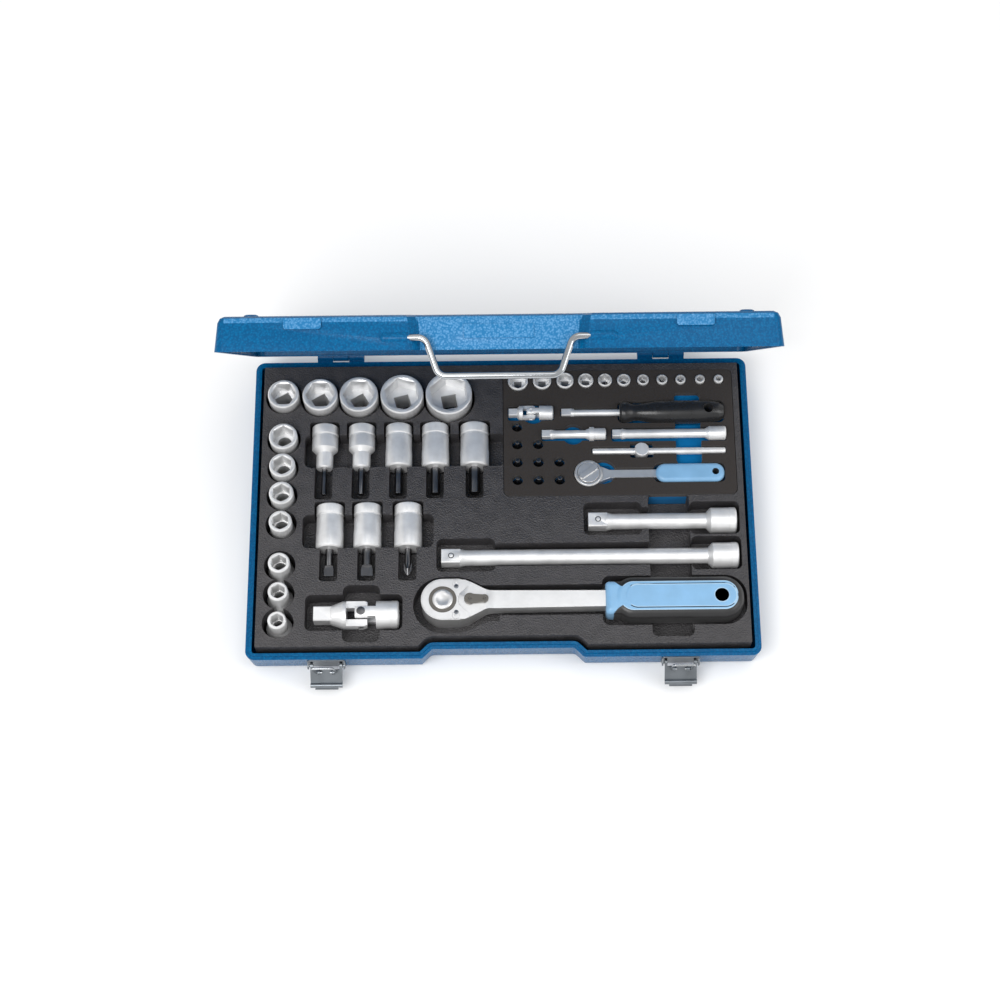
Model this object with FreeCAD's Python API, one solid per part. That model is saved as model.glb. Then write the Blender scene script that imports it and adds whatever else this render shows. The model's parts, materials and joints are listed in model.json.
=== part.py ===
"""Socket wrench set in a pressed sheet-steel case.

Frame: the origin is the centre of the base's flat underside, +X runs along the case to the
right, +Y runs back to the hinges and +Z is up. Millimetres. The lid stands open.
"""
import FreeCAD, Part
import math
import os

# ---------------------------------------------------------------- driving dimensions
# Case
CASE_W = 425.0          # outer width at the rim, along X
CASE_D = 272.0          # outer depth at the rim, along Y
BASE_H = 30.0           # height of the base, underside to rim
LID_H = 26.7            # depth of the lid, rim to outer panel
DRAFT = 7.0             # how far the walls lean in towards the panels, degrees
SHEET = 1.2             # sheet thickness
CORNER_R = 8.0          # upright corners at the rim
EDGE_R = 5.0            # rounding from wall to panel
RECESS_HALF = 58.5      # half width of the handle recess at its floor
RECESS_DEPTH = 8.0      # how far the recess goes into the front wall
JOG_R = 3.0             # corners of the recess
BAND_OUT = 2.8          # flat outer band of the rim
LIP_W = 2.6             # raised inner lip of the rim
LIP_H = 1.5             # how far the lip stands above the rim
LIP_GAP = 0.5           # clearance between the lip and the lid's flange
SEAM = 0.3              # gap between lid and base when shut
LID_OPEN = 64.2         # how far the lid stands open, degrees
FOOT_R = 5.5            # pressed bumps on the lid's outer panel
FOOT_H = 1.5
FOOT_X = 185.5
FOOT_INSET = 16.0
# Hinges
HINGE_X = 139.0         # centre of each hinge
HINGE_W = 40.5
HINGE_OUT = 5.5         # pin axis behind the back wall
KNUCKLE_R = 4.0
HINGE_PIN_R = 1.8
LEAF_T = 2.2
LEAF_H = 17.0
LEAF_GAP = 3.2          # from the axis plane to the full-width part of a leaf
# Carrying handle
WIRE_R = 2.6
LUG_X = 68.0            # inner end of each lug
LUG_L = 17.0
LUG_R = 4.4
HANDLE_IN = 2.5         # pivot axis inside the front wall's plane
HANDLE_UP = 10.0        # pivot axis above the rim, lid shut
HANDLE_REACH = 29.0
HANDLE_SHOULDER = 55.0  # half width where the legs leave the pivots
HANDLE_GRIP = 45.0      # half width at the grip
HANDLE_BEND = 8.0
HANDLE_STUB = 78.0      # half width over the ends
# Strikes and plain badge on the lid's front wall
STRIKE_W = 28.0
STRIKE_Z0 = 16.5        # above the rim, lid shut
STRIKE_H = 8.4
STRIKE_T = 2.6          # at the strike's lower edge
STRIKE_T_TOP = 1.4
BADGE_W = 52.0
BADGE_Z0 = 9.0
BADGE_H = 10.6
BADGE_T = 0.8
# Draw latches
LATCH_X = 146.0
LATCH_OUT = 3.6         # lever axis in front of the front wall
LATCH_DOWN = 8.0        # lever axis below the rim
LATCH_PIN_R = 1.1
LATCH_PLATE_W = 31.0
LATCH_PLATE_H = 21.0
LATCH_PLATE_T = 1.0
EAR_T = 1.2
LEVER_W = 26.4
LEVER_L = 16.0
LEVER_T = 1.2
LEVER_OPEN = 60.0       # lever angle from the wall, as it stands ajar
CURL_R = 2.0
TONGUE_W = 19.0
TONGUE_L = 4.0
BAIL_R = 0.9
BAIL_HALF = 8.4         # half width between the bail's legs
BAIL_L = 39.5
BAIL_LEAN = 13.6        # the standing bail leans forward, degrees
BAIL_OUT = 4.3          # bail axis from the lever axis, lever shut
BAIL_DOWN = 4.5
BAIL_LUG_R = 1.9
# Tray
TRAY_TOP = 38.0
TRAY_WALL = 1.5
TRAY_INSET = 8.5
FLOOR_GAP = 0.3         # tray skirt above the base's floor
SEAT = 0.25             # gap under each tool
SIDE = 1.3              # room beside each tool lying in the tray
WELL_ROUND = 2.4        # room round each standing socket
LYING_Z = 31.0          # axis of the half-inch tools lying in the tray
# Half-inch sockets: size, outer diameter, drive-end diameter, height, X, Y, turn in degrees
SOCKET_TOP = 46.0       # rim of the smallest socket
SOCKETS = (
    (10, 15.4, 21.6, 38.0, -185.5, -106.8, 0),
    (11, 16.6, 21.6, 38.0, -185.5, -81.6, 0),
    (12, 18.0, 21.6, 38.0, -185.5, -56.2, 0),
    (13, 19.2, 21.6, 38.0, -185.5, -19.2, 0),
    (14, 20.6, 21.6, 38.0, -185.5, 6.6, 0),
    (15, 21.8, 21.8, 38.0, -185.5, 32.0, 0),
    (17, 24.0, 22.0, 38.0, -185.5, 58.8, 0),
    (19, 26.6, 25.0, 38.0, -186.5, 98.6, 30),
    (22, 30.0, 27.0, 40.0, -155.0, 97.2, 30),
    (24, 32.8, 28.0, 41.0, -121.7, 96.9, 30),
    (27, 36.6, 30.0, 42.0, -84.8, 96.2, 15),
    (30, 39.6, 32.0, 43.0, -44.6, 96.0, 10),
)
DRIVE = 12.7            # half-inch square
DRIVE_PLAY = 0.15
DRIVE_DEPTH = 16.0
SMALL_DRIVE = 6.35      # quarter-inch square
SMALL_DRIVE_DEPTH = 9.0
# Bit sockets: name, kind, tip width, body radius, neck radius, X, Y of the drive end
BIT_BODY_L = 39.0
BIT_BLADE_L = 23.5
BIT_ROW_BACK = 72.6
BIT_ROW_FRONT = -1.0
BIT_SOCKETS = (
    ("hex_4", "hex", 4.0, 11.4, 7.2, -150.8, BIT_ROW_BACK),
    ("hex_5", "hex", 5.0, 11.4, 7.6, -119.4, BIT_ROW_BACK),
    ("hex_6", "hex", 6.0, 11.4, 11.4, -87.7, BIT_ROW_BACK),
    ("hex_7", "hex", 7.0, 11.7, 11.7, -56.4, BIT_ROW_BACK),
    ("hex_8", "hex", 8.0, 12.2, 12.2, -23.0, BIT_ROW_BACK),
    ("slot_8", "slot", 7.8, 11.6, 11.6, -145.0, BIT_ROW_FRONT),
    ("slot_10", "slot", 9.8, 11.7, 11.7, -113.3, BIT_ROW_FRONT),
    ("cross_3", "cross", 6.6, 11.7, 11.7, -79.1, BIT_ROW_FRONT),
)
# Half-inch extensions: length, start X, Y, shaft radius
EXTENSIONS = {
    "extension_long": (248.0, -51.0, -48.4, 6.6),
    "extension_short": (124.3, 72.4, -16.9, 6.6),
}
EXT_END_R = 10.9
EXT_END_L = 21.5
EXT_SQUARE_L = 15.0
# Half-inch universal joint
UJ_X = -117.0           # centre of the cross
UJ_Y = -98.2
UJ_R = 11.6
UJ_SOCKET_L = 31.0
UJ_DRIVE_L = 39.5
UJ_SQUARE_L = 14.0
UJ_PIN_R = 2.8
UJ_CROSS = 9.0          # side of the cross block
FORK_GAP = 0.5          # between a cross and its fork arms
ARM_EASE = 0.3          # arms narrower than the cross, each side
# Half-inch ratchet
RAT_X = -49.6
RAT_Y = -88.7
RAT_R = 17.9            # head
RAT_TOP = 41.5
RAT_H = 20.5
RAT_SHOULDER = 22.3     # where the head's sides turn in
RAT_SHOULDER_HALF = 15.6
RAT_NECK = 43.0         # where the shank starts
SHANK_HALF_0 = 7.8
SHANK_HALF_1 = 6.5
SHANK_T = 13.0
GRIP_X0 = 84.9
GRIP_X1 = 199.3
GRIP_W = 36.0
GRIP_H = 24.0
GRIP_Z = 34.0
GRIP_COLLAR_L = 10.0
GRIP_COLLAR_W = 28.5
INLAY_W = 20.0
INLAY_T = 1.0
HANG_R = 5.8
HANG_X = 180.5
COVER_T = 1.6
GEAR_R = 11.4
PAWL_HALF = 4.8
PAWL_ROOM = 1.1         # how far the pawl can shift either way
BUTTON_R = 8.5
BUTTON_UP = 1.4
BUTTON_TRAVEL = 1.0
RING_R = 11.3
LEVER_X = 22.5          # reversing lever's pivot from the head's centre
REV_BIG_R = 4.7
REV_SMALL_R = 3.4
REV_REACH = 12.0
REV_T = 2.4
SCREW_R = 2.9
SCREW_X = 10.8
SCREW_Y = 14.0
DRIVE_L = 15.0
RUN = 0.05              # radial running clearance
PAWL_COVER = 1.2        # metal left over the pawl, under the cover plate
HEAD_ROOM = 6.6         # room round the head in its well
HEAD_WELL_OUT = 3.75    # the head's well sits further forward than the head
SHANK_WELL_HALF = 13.3
GRIP_WELL_OUT = 2.5     # extra room in front of the grip
# Foam module
FOAM_X = (2.0, 198.5)
FOAM_Y = (4.6, 121.0)
FOAM_FLOOR = 16.0       # tray floor under the foam
FOAM_BASE_TOP = 32.5    # top of the blue layer
FOAM_TOP = 38.5
FOAM_SKIN = 1.2         # foam left under an upright tool
FOAM_R = 5.0
FOAM_EASE = 0.7         # room round a tool in the foam
# Quarter-inch sockets: size, outer diameter, X
QUARTER_Y = 111.4
QUARTER_H = 23.0
QUARTER_SOCKETS = (
    (13.0, 17.4, 14.7), (12.0, 15.8, 35.5), (11.0, 14.8, 55.3), (10.0, 13.2, 73.1),
    (9.0, 12.2, 89.7), (8.0, 11.6, 105.9), (7.0, 10.2, 122.5), (6.0, 9.4, 138.9),
    (5.5, 8.8, 154.8), (5.0, 8.4, 171.5), (4.0, 8.0, 187.4),
)
# Quarter-inch bits: columns and rows of a stepped block
BIT_PITCH = 17.8
BIT_X0 = 13.6
BIT_Y0 = 68.4
BIT_ROWS = (1, 2, 3, 3)
BIT_ROW_PITCH = 16.5
BIT_AF = 6.35
BIT_L = 25.0
BIT_HOLE_R = 4.6
# Quarter-inch tools lying in the foam
SJ_X = 25.5             # small universal joint, centre of its cross
SJ_Y = 81.0
SJ_R = 6.2
SJ_SOCKET_L = 19.0
SJ_DRIVE_L = 19.0
SJ_SQUARE_L = 7.0
SJ_PIN_R = 1.4
SJ_CROSS = 5.0
DRIVER_Y = 81.4
DRIVER_X = (51.6, 101.3, 190.3)
DRIVER_R = 9.9
DRIVER_SHAFT_R = 3.0
DRIVER_HANG_R = 4.2
DRIVER_HANG_X = 177.0
DRIVER_Z = 36.8
SHORT_X = (34.6, 89.2)
SHORT_Y = 60.6
COLLAR_X = 77.0
LONG_X = (94.6, 191.2)
LONG_Y = 60.4
SMALL_END_R = 6.1
SMALL_SHAFT_R = 3.9
SMALL_SQUARE_L = 6.8
SMALL_END_L = 14.0
TEE_X = (77.2, 190.7)
TEE_Y = 45.4
TEE_R = 3.0
TEE_HEAD_X = 119.2
TEE_HEAD_R = 6.0
TEE_HEAD_L = 11.0
SR_X = 73.5             # small ratchet, centre of its head
SR_Y = 24.6
SR_R = 12.0
SR_H = 12.0
SR_PROUD = 1.0          # head's top above the foam
SR_DIAL_R = 9.2
SR_DIAL_T = 2.6
SR_STEM_R = 4.6
SR_SHANK_HALF = 3.6
SR_SHANK_T = 6.4
SR_GRIP_X = (130.5, 188.8)
SR_GRIP_W = 17.0
SR_GRIP_H = 13.0
SR_HANG_R = 2.9
SR_HANG_X = 181.0

# ---------------------------------------------------------------- derived places
HALF_W = CASE_W / 2
HALF_D = CASE_D / 2
FRONT = -HALF_D
HINGE_AXIS = (0.0, HALF_D + HINGE_OUT, BASE_H)
DRAFT_SIN = math.sin(math.radians(DRAFT))
DRAFT_COS = math.cos(math.radians(DRAFT))
HANDLE_AXIS = (0.0, FRONT + HANDLE_IN * DRAFT_COS + HANDLE_UP * DRAFT_SIN,
               BASE_H + HANDLE_UP * DRAFT_COS - HANDLE_IN * DRAFT_SIN)
LATCH_AXIS = (FRONT - LATCH_OUT * DRAFT_COS + LATCH_DOWN * DRAFT_SIN,
              BASE_H - LATCH_DOWN * DRAFT_COS - LATCH_OUT * DRAFT_SIN)
# Drawn places, before a wall's draft is applied
HANDLE_DRAWN = (0.0, FRONT + HANDLE_IN, BASE_H + HANDLE_UP)
LATCH_DRAWN = (FRONT - LATCH_OUT, BASE_H - LATCH_DOWN)
TRAY_FLOOR = SHEET + FLOOR_GAP
RAT_BOTTOM = RAT_TOP - RAT_H


# ---------------------------------------------------------------- shape helpers
def vec(x, y, z):
    """Short name for a vector."""
    return FreeCAD.Vector(x, y, z)


def block(x0, x1, y0, y1, z0, z1):
    """Box between two corners."""
    return Part.makeBox(x1 - x0, y1 - y0, z1 - z0, vec(x0, y0, z0))


AXES = {"x": vec(1, 0, 0), "y": vec(0, 1, 0), "z": vec(0, 0, 1)}


def rod(radius, start, length, axis="z"):
    """Cylinder from start along a named axis."""
    return Part.makeCylinder(radius, length, vec(*start), AXES[axis])


def join(first, *others):
    """Union of touching solids."""
    return first.fuse(list(others)).removeSplitter() if others else first


def moved(shape, x=0.0, y=0.0, z=0.0):
    """Copy of a shape, shifted."""
    copy = shape.copy()
    copy.translate(vec(x, y, z))
    return copy


def turned(shape, centre, axis, angle):
    """Copy of a shape, turned about a named axis through centre."""
    copy = shape.copy()
    copy.rotate(vec(*centre), AXES[axis], angle)
    return copy


def outline(points, radii, z=0.0):
    """Closed wire through the points, each corner rounded by its radius."""
    count = len(points)
    corners = [vec(x, y, z) for x, y in points]
    ends = []
    for i in range(count):
        here = corners[i]
        back = (corners[i - 1] - here).normalize()
        on = (corners[(i + 1) % count] - here).normalize()
        if radii[i] <= 0:
            ends.append((here, None, here))
            continue
        half = back.getAngle(on) / 2
        cut = radii[i] / math.tan(half)
        middle = (back + on).normalize()
        mid = here + middle * (radii[i] / math.sin(half) - radii[i])
        ends.append((here + back * cut, mid, here + on * cut))
    edges = []
    for i in range(count):
        start, mid, stop = ends[i]
        if mid is not None:
            edges.append(Part.Arc(start, mid, stop).toShape())
        after = ends[(i + 1) % count][0]
        if stop.distanceToPoint(after) > 1e-6:
            edges.append(Part.makeLine(stop, after))
    return Part.Wire(edges)


def prism(points, radii, z0, z1):
    """Upright solid on a rounded outline."""
    face = Part.Face(outline(points, radii, z0))
    return face.extrude(vec(0, 0, z1 - z0))


def rectangle(x0, x1, y0, y1):
    """Corner points of a rectangle, anticlockwise."""
    return ((x0, y0), (x1, y0), (x1, y1), (x0, y1))


def slab(x0, x1, y0, y1, z0, z1, radius):
    """Box with rounded upright corners."""
    limit = min(x1 - x0, y1 - y0) / 2 - 0.01
    return prism(rectangle(x0, x1, y0, y1), [min(radius, limit)] * 4, z0, z1)


def polygon_bar(sides, across_flats, start, length, axis="z"):
    """Regular bar with flats facing the other two axes."""
    radius = across_flats / 2 / math.cos(math.pi / sides)
    points = []
    for i in range(sides):
        angle = math.pi * (2 * i + 1) / sides
        a = radius * math.cos(angle)
        b = radius * math.sin(angle)
        points.append({"z": vec(a, b, 0), "x": vec(0, a, b), "y": vec(b, 0, a)}[axis] + vec(*start))
    wire = Part.makePolygon(points + points[:1])
    return Part.Face(wire).extrude(AXES[axis] * length)


def square_bar(size, start, length, axis="z"):
    """Square drive with its four long edges chamfered."""
    bar = polygon_bar(4, size, start, length, axis)
    return bar.common(rod(size * 0.66, start, length, axis))


def turned_profile(profile, start, axis="z"):
    """Solid of revolution; profile lists (distance along the axis, radius)."""
    points = [vec(0, 0, profile[0][0])]
    points += [vec(r, 0, z) for z, r in profile]
    points += [vec(0, 0, profile[-1][0]), points[0]]
    solid = Part.Face(Part.makePolygon(points)).revolve(vec(0, 0, 0), vec(0, 0, 1), 360)
    if axis == "x":
        solid.rotate(vec(0, 0, 0), AXES["y"], 90)
    if axis == "y":
        solid.rotate(vec(0, 0, 0), AXES["x"], -90)
    solid.translate(vec(*start))
    return solid


def wire_rod(points, radius, bend):
    """Round wire along points, with each inner corner bent to a radius."""
    places = [vec(*p) for p in points]
    edges = []
    last = places[0]
    for i in range(1, len(places) - 1):
        here = places[i]
        back = (places[i - 1] - here).normalize()
        on = (places[i + 1] - here).normalize()
        half = back.getAngle(on) / 2
        cut = bend / math.tan(half)
        middle = (back + on).normalize()
        mid = here + middle * (bend / math.sin(half) - bend)
        edges.append(Part.makeLine(last, here + back * cut))
        edges.append(Part.Arc(here + back * cut, mid, here + on * cut).toShape())
        last = here + on * cut
    edges.append(Part.makeLine(last, places[-1]))
    path = Part.Wire(edges)
    section = Part.Wire(Part.makeCircle(radius, places[0], places[1] - places[0]))
    return path.makePipeShell([section], True, False)


def rounded(shape, radius, chosen):
    """Fillet the edges that a test picks."""
    edges = [edge for edge in shape.Edges if chosen(edge)]
    return shape.makeFillet(radius, edges)


def at_height(z):
    """Test for edges that lie flat at a height."""
    return lambda edge: abs(edge.BoundBox.ZMin - z) < 1e-4 and abs(edge.BoundBox.ZMax - z) < 1e-4


def open_lid(shape):
    """A lid piece, drawn shut, turned to where the lid stands open."""
    return turned(shape, HINGE_AXIS, "x", -LID_OPEN)


def leaned(shape, wall_y, angle, rim=BASE_H):
    """A piece drawn on an upright wall, leaned about the rim with the drafted wall."""
    return turned(shape, (0, wall_y, rim), "x", angle)


NODES = {}


def node(name, *solids):
    """Register the solids of one named piece."""
    NODES[name] = [solid for shape in solids for solid in shape.Solids]


# ---------------------------------------------------------------- case
def case_points(inset):
    """Plan of the case, drawn inside its outline by inset."""
    shift = inset * (math.sqrt(2) - 1)
    front = FRONT + inset
    floor = FRONT + RECESS_DEPTH + inset
    inner = RECESS_HALF + shift
    outer = RECESS_HALF + RECESS_DEPTH + shift
    side = HALF_W - inset
    back = HALF_D - inset
    return ((-side, front), (-outer, front), (-inner, floor), (inner, floor), (outer, front),
            (side, front), (side, back), (-side, back))


def case_radii(inset):
    """Corner radii of the plan; the recess bends the other way at its floor."""
    corner = max(CORNER_R - inset, 1.0)
    convex = max(JOG_R - inset, 0.5)
    hollow = JOG_R + inset
    return (corner, convex, hollow, hollow, convex, corner, corner, corner)


def case_prism(inset, z0, z1):
    """Upright solid on the case's plan."""
    return prism(case_points(inset), case_radii(inset), z0, z1)


def case_ring(inset_out, inset_in, z0, z1):
    """Band that follows the case's plan."""
    return case_prism(inset_out, z0, z1).cut(case_prism(inset_in, z0 - 1, z1 + 1))


def case_pan(inset, z0, z1, edge, rim):
    """Tray-shaped solid: drafted walls over a lower edge eased in two steps."""
    steps = ((edge * 0.9, z0), (edge * 0.3, z0 + edge * 0.3), (0.0, z0 + edge), (0.0, z1))
    wires = []
    for ease, z in steps:
        here = inset + ease + (rim - z) * DRAFT_SIN / DRAFT_COS
        wires.append(outline(case_points(here), case_radii(here), z))
    lofts = [Part.makeLoft(wires[i:i + 2], True, True) for i in range(len(wires) - 1)]
    return join(*lofts)


def case_shell(height):
    """Open pan of sheet steel, open side up."""
    outer = case_pan(0.0, 0.0, height, EDGE_R, height)
    inner = case_pan(SHEET, SHEET, height + 1, EDGE_R - SHEET / 2, height)
    return outer.cut(inner)


def make_base_shell():
    """Base pan with its joggled rim."""
    shell = case_shell(BASE_H)
    band = case_ring(SHEET / 2, BAND_OUT + SHEET, BASE_H - SHEET, BASE_H)
    riser_in = BAND_OUT + LIP_W
    lip = case_ring(BAND_OUT, riser_in, BASE_H - SHEET, BASE_H + LIP_H)
    node("base_shell", join(shell, band, lip))


def front_lug(side):
    """Pressed lug round one end of the handle, lid shut."""
    x0 = LUG_X if side > 0 else -LUG_X - LUG_L
    _, y, z = HANDLE_DRAWN
    body = rod(LUG_R, (x0, y, z), LUG_L, "x")
    cap = Part.makeSphere(LUG_R, vec(side * (LUG_X + LUG_L), y, z))
    return join(body, cap)


def lid_front_features():
    """Strikes, plain badge and feet, lid shut."""
    pieces = []
    for side in (-1, 1):
        x = side * LATCH_X
        z0 = BASE_H + STRIKE_Z0
        pad = slab(x - STRIKE_W / 2, x + STRIKE_W / 2, 0, STRIKE_H, -SHEET, STRIKE_T, 2.0)
        wedge = prism(((-SHEET, -1), (STRIKE_T, -1), (STRIKE_T, 0), (STRIKE_T_TOP, STRIKE_H),
                       (STRIKE_T_TOP, STRIKE_H + 1), (-SHEET, STRIKE_H + 1)), [0] * 6, 0, STRIKE_W + 2)
        wedge = moved(turned(wedge, (0, 0, 0), "y", -90), x=x + STRIKE_W / 2 + 1)
        pad = turned(pad.common(wedge), (0, 0, 0), "x", 90)
        pieces.append(leaned(moved(pad, y=FRONT, z=z0), FRONT, -DRAFT))
        foot = turned_profile(((-SHEET / 2, FOOT_R), (FOOT_H / 2, FOOT_R), (FOOT_H, FOOT_R * 0.7)),
                              (side * FOOT_X, FRONT + FOOT_INSET, BASE_H + LID_H))
        pieces.append(foot)
        pieces.append(leaned(front_lug(side), FRONT, -DRAFT))
    badge_y = FRONT + RECESS_DEPTH
    badge = block(-BADGE_W / 2, BADGE_W / 2, badge_y - BADGE_T, badge_y + SHEET / 2,
                  BASE_H + BADGE_Z0, BASE_H + BADGE_Z0 + BADGE_H)
    pieces.append(leaned(badge, badge_y, -DRAFT))
    return pieces


def make_lid_shell():
    """Lid pan, its flange and what is pressed into it."""
    shell = case_shell(LID_H - SEAM).mirror(vec(0, 0, 0), vec(0, 0, 1))
    shell = moved(shell, z=BASE_H + LID_H)
    flange = case_ring(SHEET / 2, BAND_OUT - LIP_GAP, BASE_H + SEAM, BASE_H + SEAM + SHEET)
    lid = join(shell, flange, *lid_front_features())
    _, y, z = HANDLE_AXIS
    for side in (-1, 1):
        start = min(side * (RECESS_HALF - 2), side * (HANDLE_STUB + 0.5))
        length = HANDLE_STUB + 0.5 - (RECESS_HALF - 2)
        lid = lid.cut(rod(WIRE_R + RUN, (start, y, z), length, "x"))
    node("lid_shell", open_lid(lid))


def hinge_leaf(x, knuckles, up):
    """One leaf with its knuckles, on the back wall, lid shut."""
    _, y, z = HINGE_AXIS
    low, high = (z + LEAF_GAP, z + LEAF_H) if up else (z - LEAF_H, z - LEAF_GAP)
    lean = (HALF_D, DRAFT, BASE_H + SEAM) if up else (HALF_D, -DRAFT)
    leaf = leaned(block(x - HINGE_W / 2, x + HINGE_W / 2, HALF_D, HALF_D + LEAF_T, low, high), *lean)
    pieces = []
    for a, b in knuckles:
        web = block(x + a, x + b, HALF_D, HALF_D + LEAF_T, min(z, high - 1), max(z, low + 1))
        pieces += [leaned(web, *lean), rod(KNUCKLE_R, (x + a, y, z), b - a, "x")]
    leaf = join(leaf, *pieces)
    return leaf.cut(rod(HINGE_PIN_R + RUN, (x - HINGE_W, y, z), 2 * HINGE_W, "x"))


def make_hinges():
    """Two butt hinges: leaves and pins."""
    third = HINGE_W / 3
    ends = ((-HINGE_W / 2, -third / 2 - 0.3), (third / 2 + 0.3, HINGE_W / 2))
    middle = ((-third / 2, third / 2),)
    places = (-HINGE_X, HINGE_X)
    _, y, z = HINGE_AXIS
    node("hinge_base_leaves", *[hinge_leaf(x, ends, False) for x in places])
    node("hinge_lid_leaves", *[open_lid(hinge_leaf(x, middle, True)) for x in places])
    node("hinge_pins", *[rod(HINGE_PIN_R, (x - HINGE_W / 2, y, z), HINGE_W, "x") for x in places])


def make_handle():
    """Bent wire handle, hanging flat against the lid's front wall."""
    _, y, z = HANDLE_DRAWN
    route = ((HANDLE_STUB, 0), (HANDLE_SHOULDER, 0), (HANDLE_GRIP, -HANDLE_REACH),
             (-HANDLE_GRIP, -HANDLE_REACH), (-HANDLE_SHOULDER, 0), (-HANDLE_STUB, 0))
    wire = wire_rod([(x, y, z + down) for x, down in route], WIRE_R, HANDLE_BEND)
    node("carry_handle", open_lid(leaned(wire, FRONT, -DRAFT)))


def latch_plate(x):
    """Plate with two ears and their pins, on the base's front wall."""
    ya, za = LATCH_DRAWN
    half = LATCH_PLATE_W / 2
    face = FRONT - LATCH_PLATE_T
    top = BASE_H - 2.5
    plate = slab(-half, half, top - LATCH_PLATE_H, top, 0, LATCH_PLATE_T, 2.0)
    plate = moved(turned(plate, (0, 0, 0), "x", 90), x=x, y=FRONT)
    solids = [plate]
    for side in (-1, 1):
        outer = x + side * half
        inner = x + side * (half - EAR_T)
        x0, x1 = min(outer, inner), max(outer, inner)
        ear = join(block(x0, x1, ya, face + 0.2, za - 3, za + 3), rod(3.0, (x0, ya, za), x1 - x0, "x"))
        pin_in = x + side * (LEVER_W / 2 - 2.6)
        pin = rod(LATCH_PIN_R, (min(pin_in, outer), ya, za), abs(outer - pin_in), "x")
        solids += [ear, pin]
    return leaned(join(*solids), FRONT, DRAFT)


def latch_lever(x):
    """Lever with its knuckles, bail lugs, curl and tongue, drawn shut, then opened."""
    ya, za = LATCH_DRAWN
    half = LEVER_W / 2
    back = ya - 1.4
    bottom = za - LEVER_L
    plate = block(x - half, x + half, back - LEVER_T, back, bottom, za - 2.6)
    curl = rod(CURL_R, (x - half, back - CURL_R, bottom), LEVER_W, "x")
    tongue = block(x - TONGUE_W / 2, x + TONGUE_W / 2, back - LEVER_T, back, bottom - TONGUE_L, bottom)
    pieces = [curl, tongue]
    for side in (-1, 1):
        x0 = x + min(side * half, side * (half - 2.2))
        pieces.append(rod(2.6, (x0, ya, za), 2.2, "x"))
        pieces.append(block(x0, x0 + 2.2, back - LEVER_T, back, za - 3.0, za))
        lug = x + min(side * 4.6, side * 7.0)
        yb = ya - BAIL_OUT
        zb = za - BAIL_DOWN
        pieces.append(rod(BAIL_LUG_R, (lug, yb, zb), 2.4, "x"))
        pieces.append(block(lug, lug + 2.4, yb, back - LEVER_T / 2, zb - BAIL_LUG_R, zb + BAIL_LUG_R - 0.2))
    lever = join(plate, *pieces)
    lever = lever.cut(rod(LATCH_PIN_R + RUN, (x - LEVER_W, ya, za), 2 * LEVER_W, "x"))
    lever = lever.cut(rod(BAIL_R + RUN, (x - LEVER_W, ya - BAIL_OUT, za - BAIL_DOWN), 2 * LEVER_W, "x"))
    return leaned(turned(lever, (x, ya, za), "x", -LEVER_OPEN), FRONT, DRAFT)


def bail_axis():
    """Where the bail hinges on the open lever: (y, z)."""
    ya, za = LATCH_DRAWN
    place = turned(Part.Vertex(0, ya - BAIL_OUT, za - BAIL_DOWN), (0, ya, za), "x", -LEVER_OPEN)
    place = leaned(place, FRONT, DRAFT)
    return place.Y, place.Z


def latch_bail(x):
    """Wire loop that stands up from the lever, leaning forward."""
    y, z = bail_axis()
    lean = math.radians(BAIL_LEAN)
    route = ((3.2, 0), (BAIL_HALF, 0), (BAIL_HALF, BAIL_L), (-BAIL_HALF, BAIL_L), (-BAIL_HALF, 0), (-3.2, 0))
    points = [(x + a, y - along * math.sin(lean), z + along * math.cos(lean)) for a, along in route]
    return wire_rod(points, BAIL_R, 1.3)


def make_latches():
    """Two draw latches."""
    node("latch_plates", *[latch_plate(x) for x in (-LATCH_X, LATCH_X)])
    for name, x in (("left", -LATCH_X), ("right", LATCH_X)):
        node("latch_lever_" + name, latch_lever(x))
        node("latch_bail_" + name, latch_bail(x))


# ---------------------------------------------------------------- tray
def round_well(x, y, radius, floor):
    """Circular well: kind, place and size."""
    return ("round", x, y, radius, floor)


def long_well(x0, x1, y0, y1, floor, corner=4.0):
    """Rectangular well with rounded corners."""
    return ("long", x0, x1, y0, y1, floor, corner)


def well_solid(well, grow, top):
    """The space of a well, or the plastic round it when grown."""
    if well[0] == "round":
        _, x, y, radius, floor = well
        return rod(radius + grow, (x, y, floor - grow), top - floor + grow)
    if well[0] == "head":
        _, x, y, room, floor = well
        points, radii = ratchet_plan(room + grow)
        return moved(prism(points, radii, floor - grow, top), x, y)
    _, x0, x1, y0, y1, floor, corner = well
    return slab(x0 - grow, x1 + grow, y0 - grow, y1 + grow, floor - grow, top, corner + grow)


def socket_floor(height, size):
    """Height of a standing socket's seat; larger sockets stand a little prouder."""
    return SOCKET_TOP + max(0.0, size - 19.0) * 0.3 - height


def socket_wells():
    """Wells for the standing sockets."""
    return [round_well(x, y, max(od, drive) / 2 + WELL_ROUND, socket_floor(height, size) - SEAT)
            for size, od, drive, height, x, y, _ in SOCKETS]


def bit_socket_wells():
    """Wells, blade channels and finger troughs of the bit sockets."""
    wells = []
    for _, _, _, radius, _, x, y in BIT_SOCKETS:
        floor = LYING_Z - radius - SEAT
        reach = y - BIT_BODY_L - BIT_BLADE_L - 7.0
        wells.append(long_well(x - radius - SIDE, x + radius + SIDE, y - BIT_BODY_L - 1.5, y + 2.0, floor, 2.5))
        wells.append(long_well(x - 7.6, x + 7.6, reach, y - BIT_BODY_L, LYING_Z - 8.5, 3.0))
    for row, x1 in ((BIT_ROW_BACK, 2.6), (BIT_ROW_FRONT, -57.4)):
        wells.append(long_well(-167.5, x1, row - 40.0, row - 10.0, LYING_Z - 11.0, 5.0))
    return wells


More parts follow.
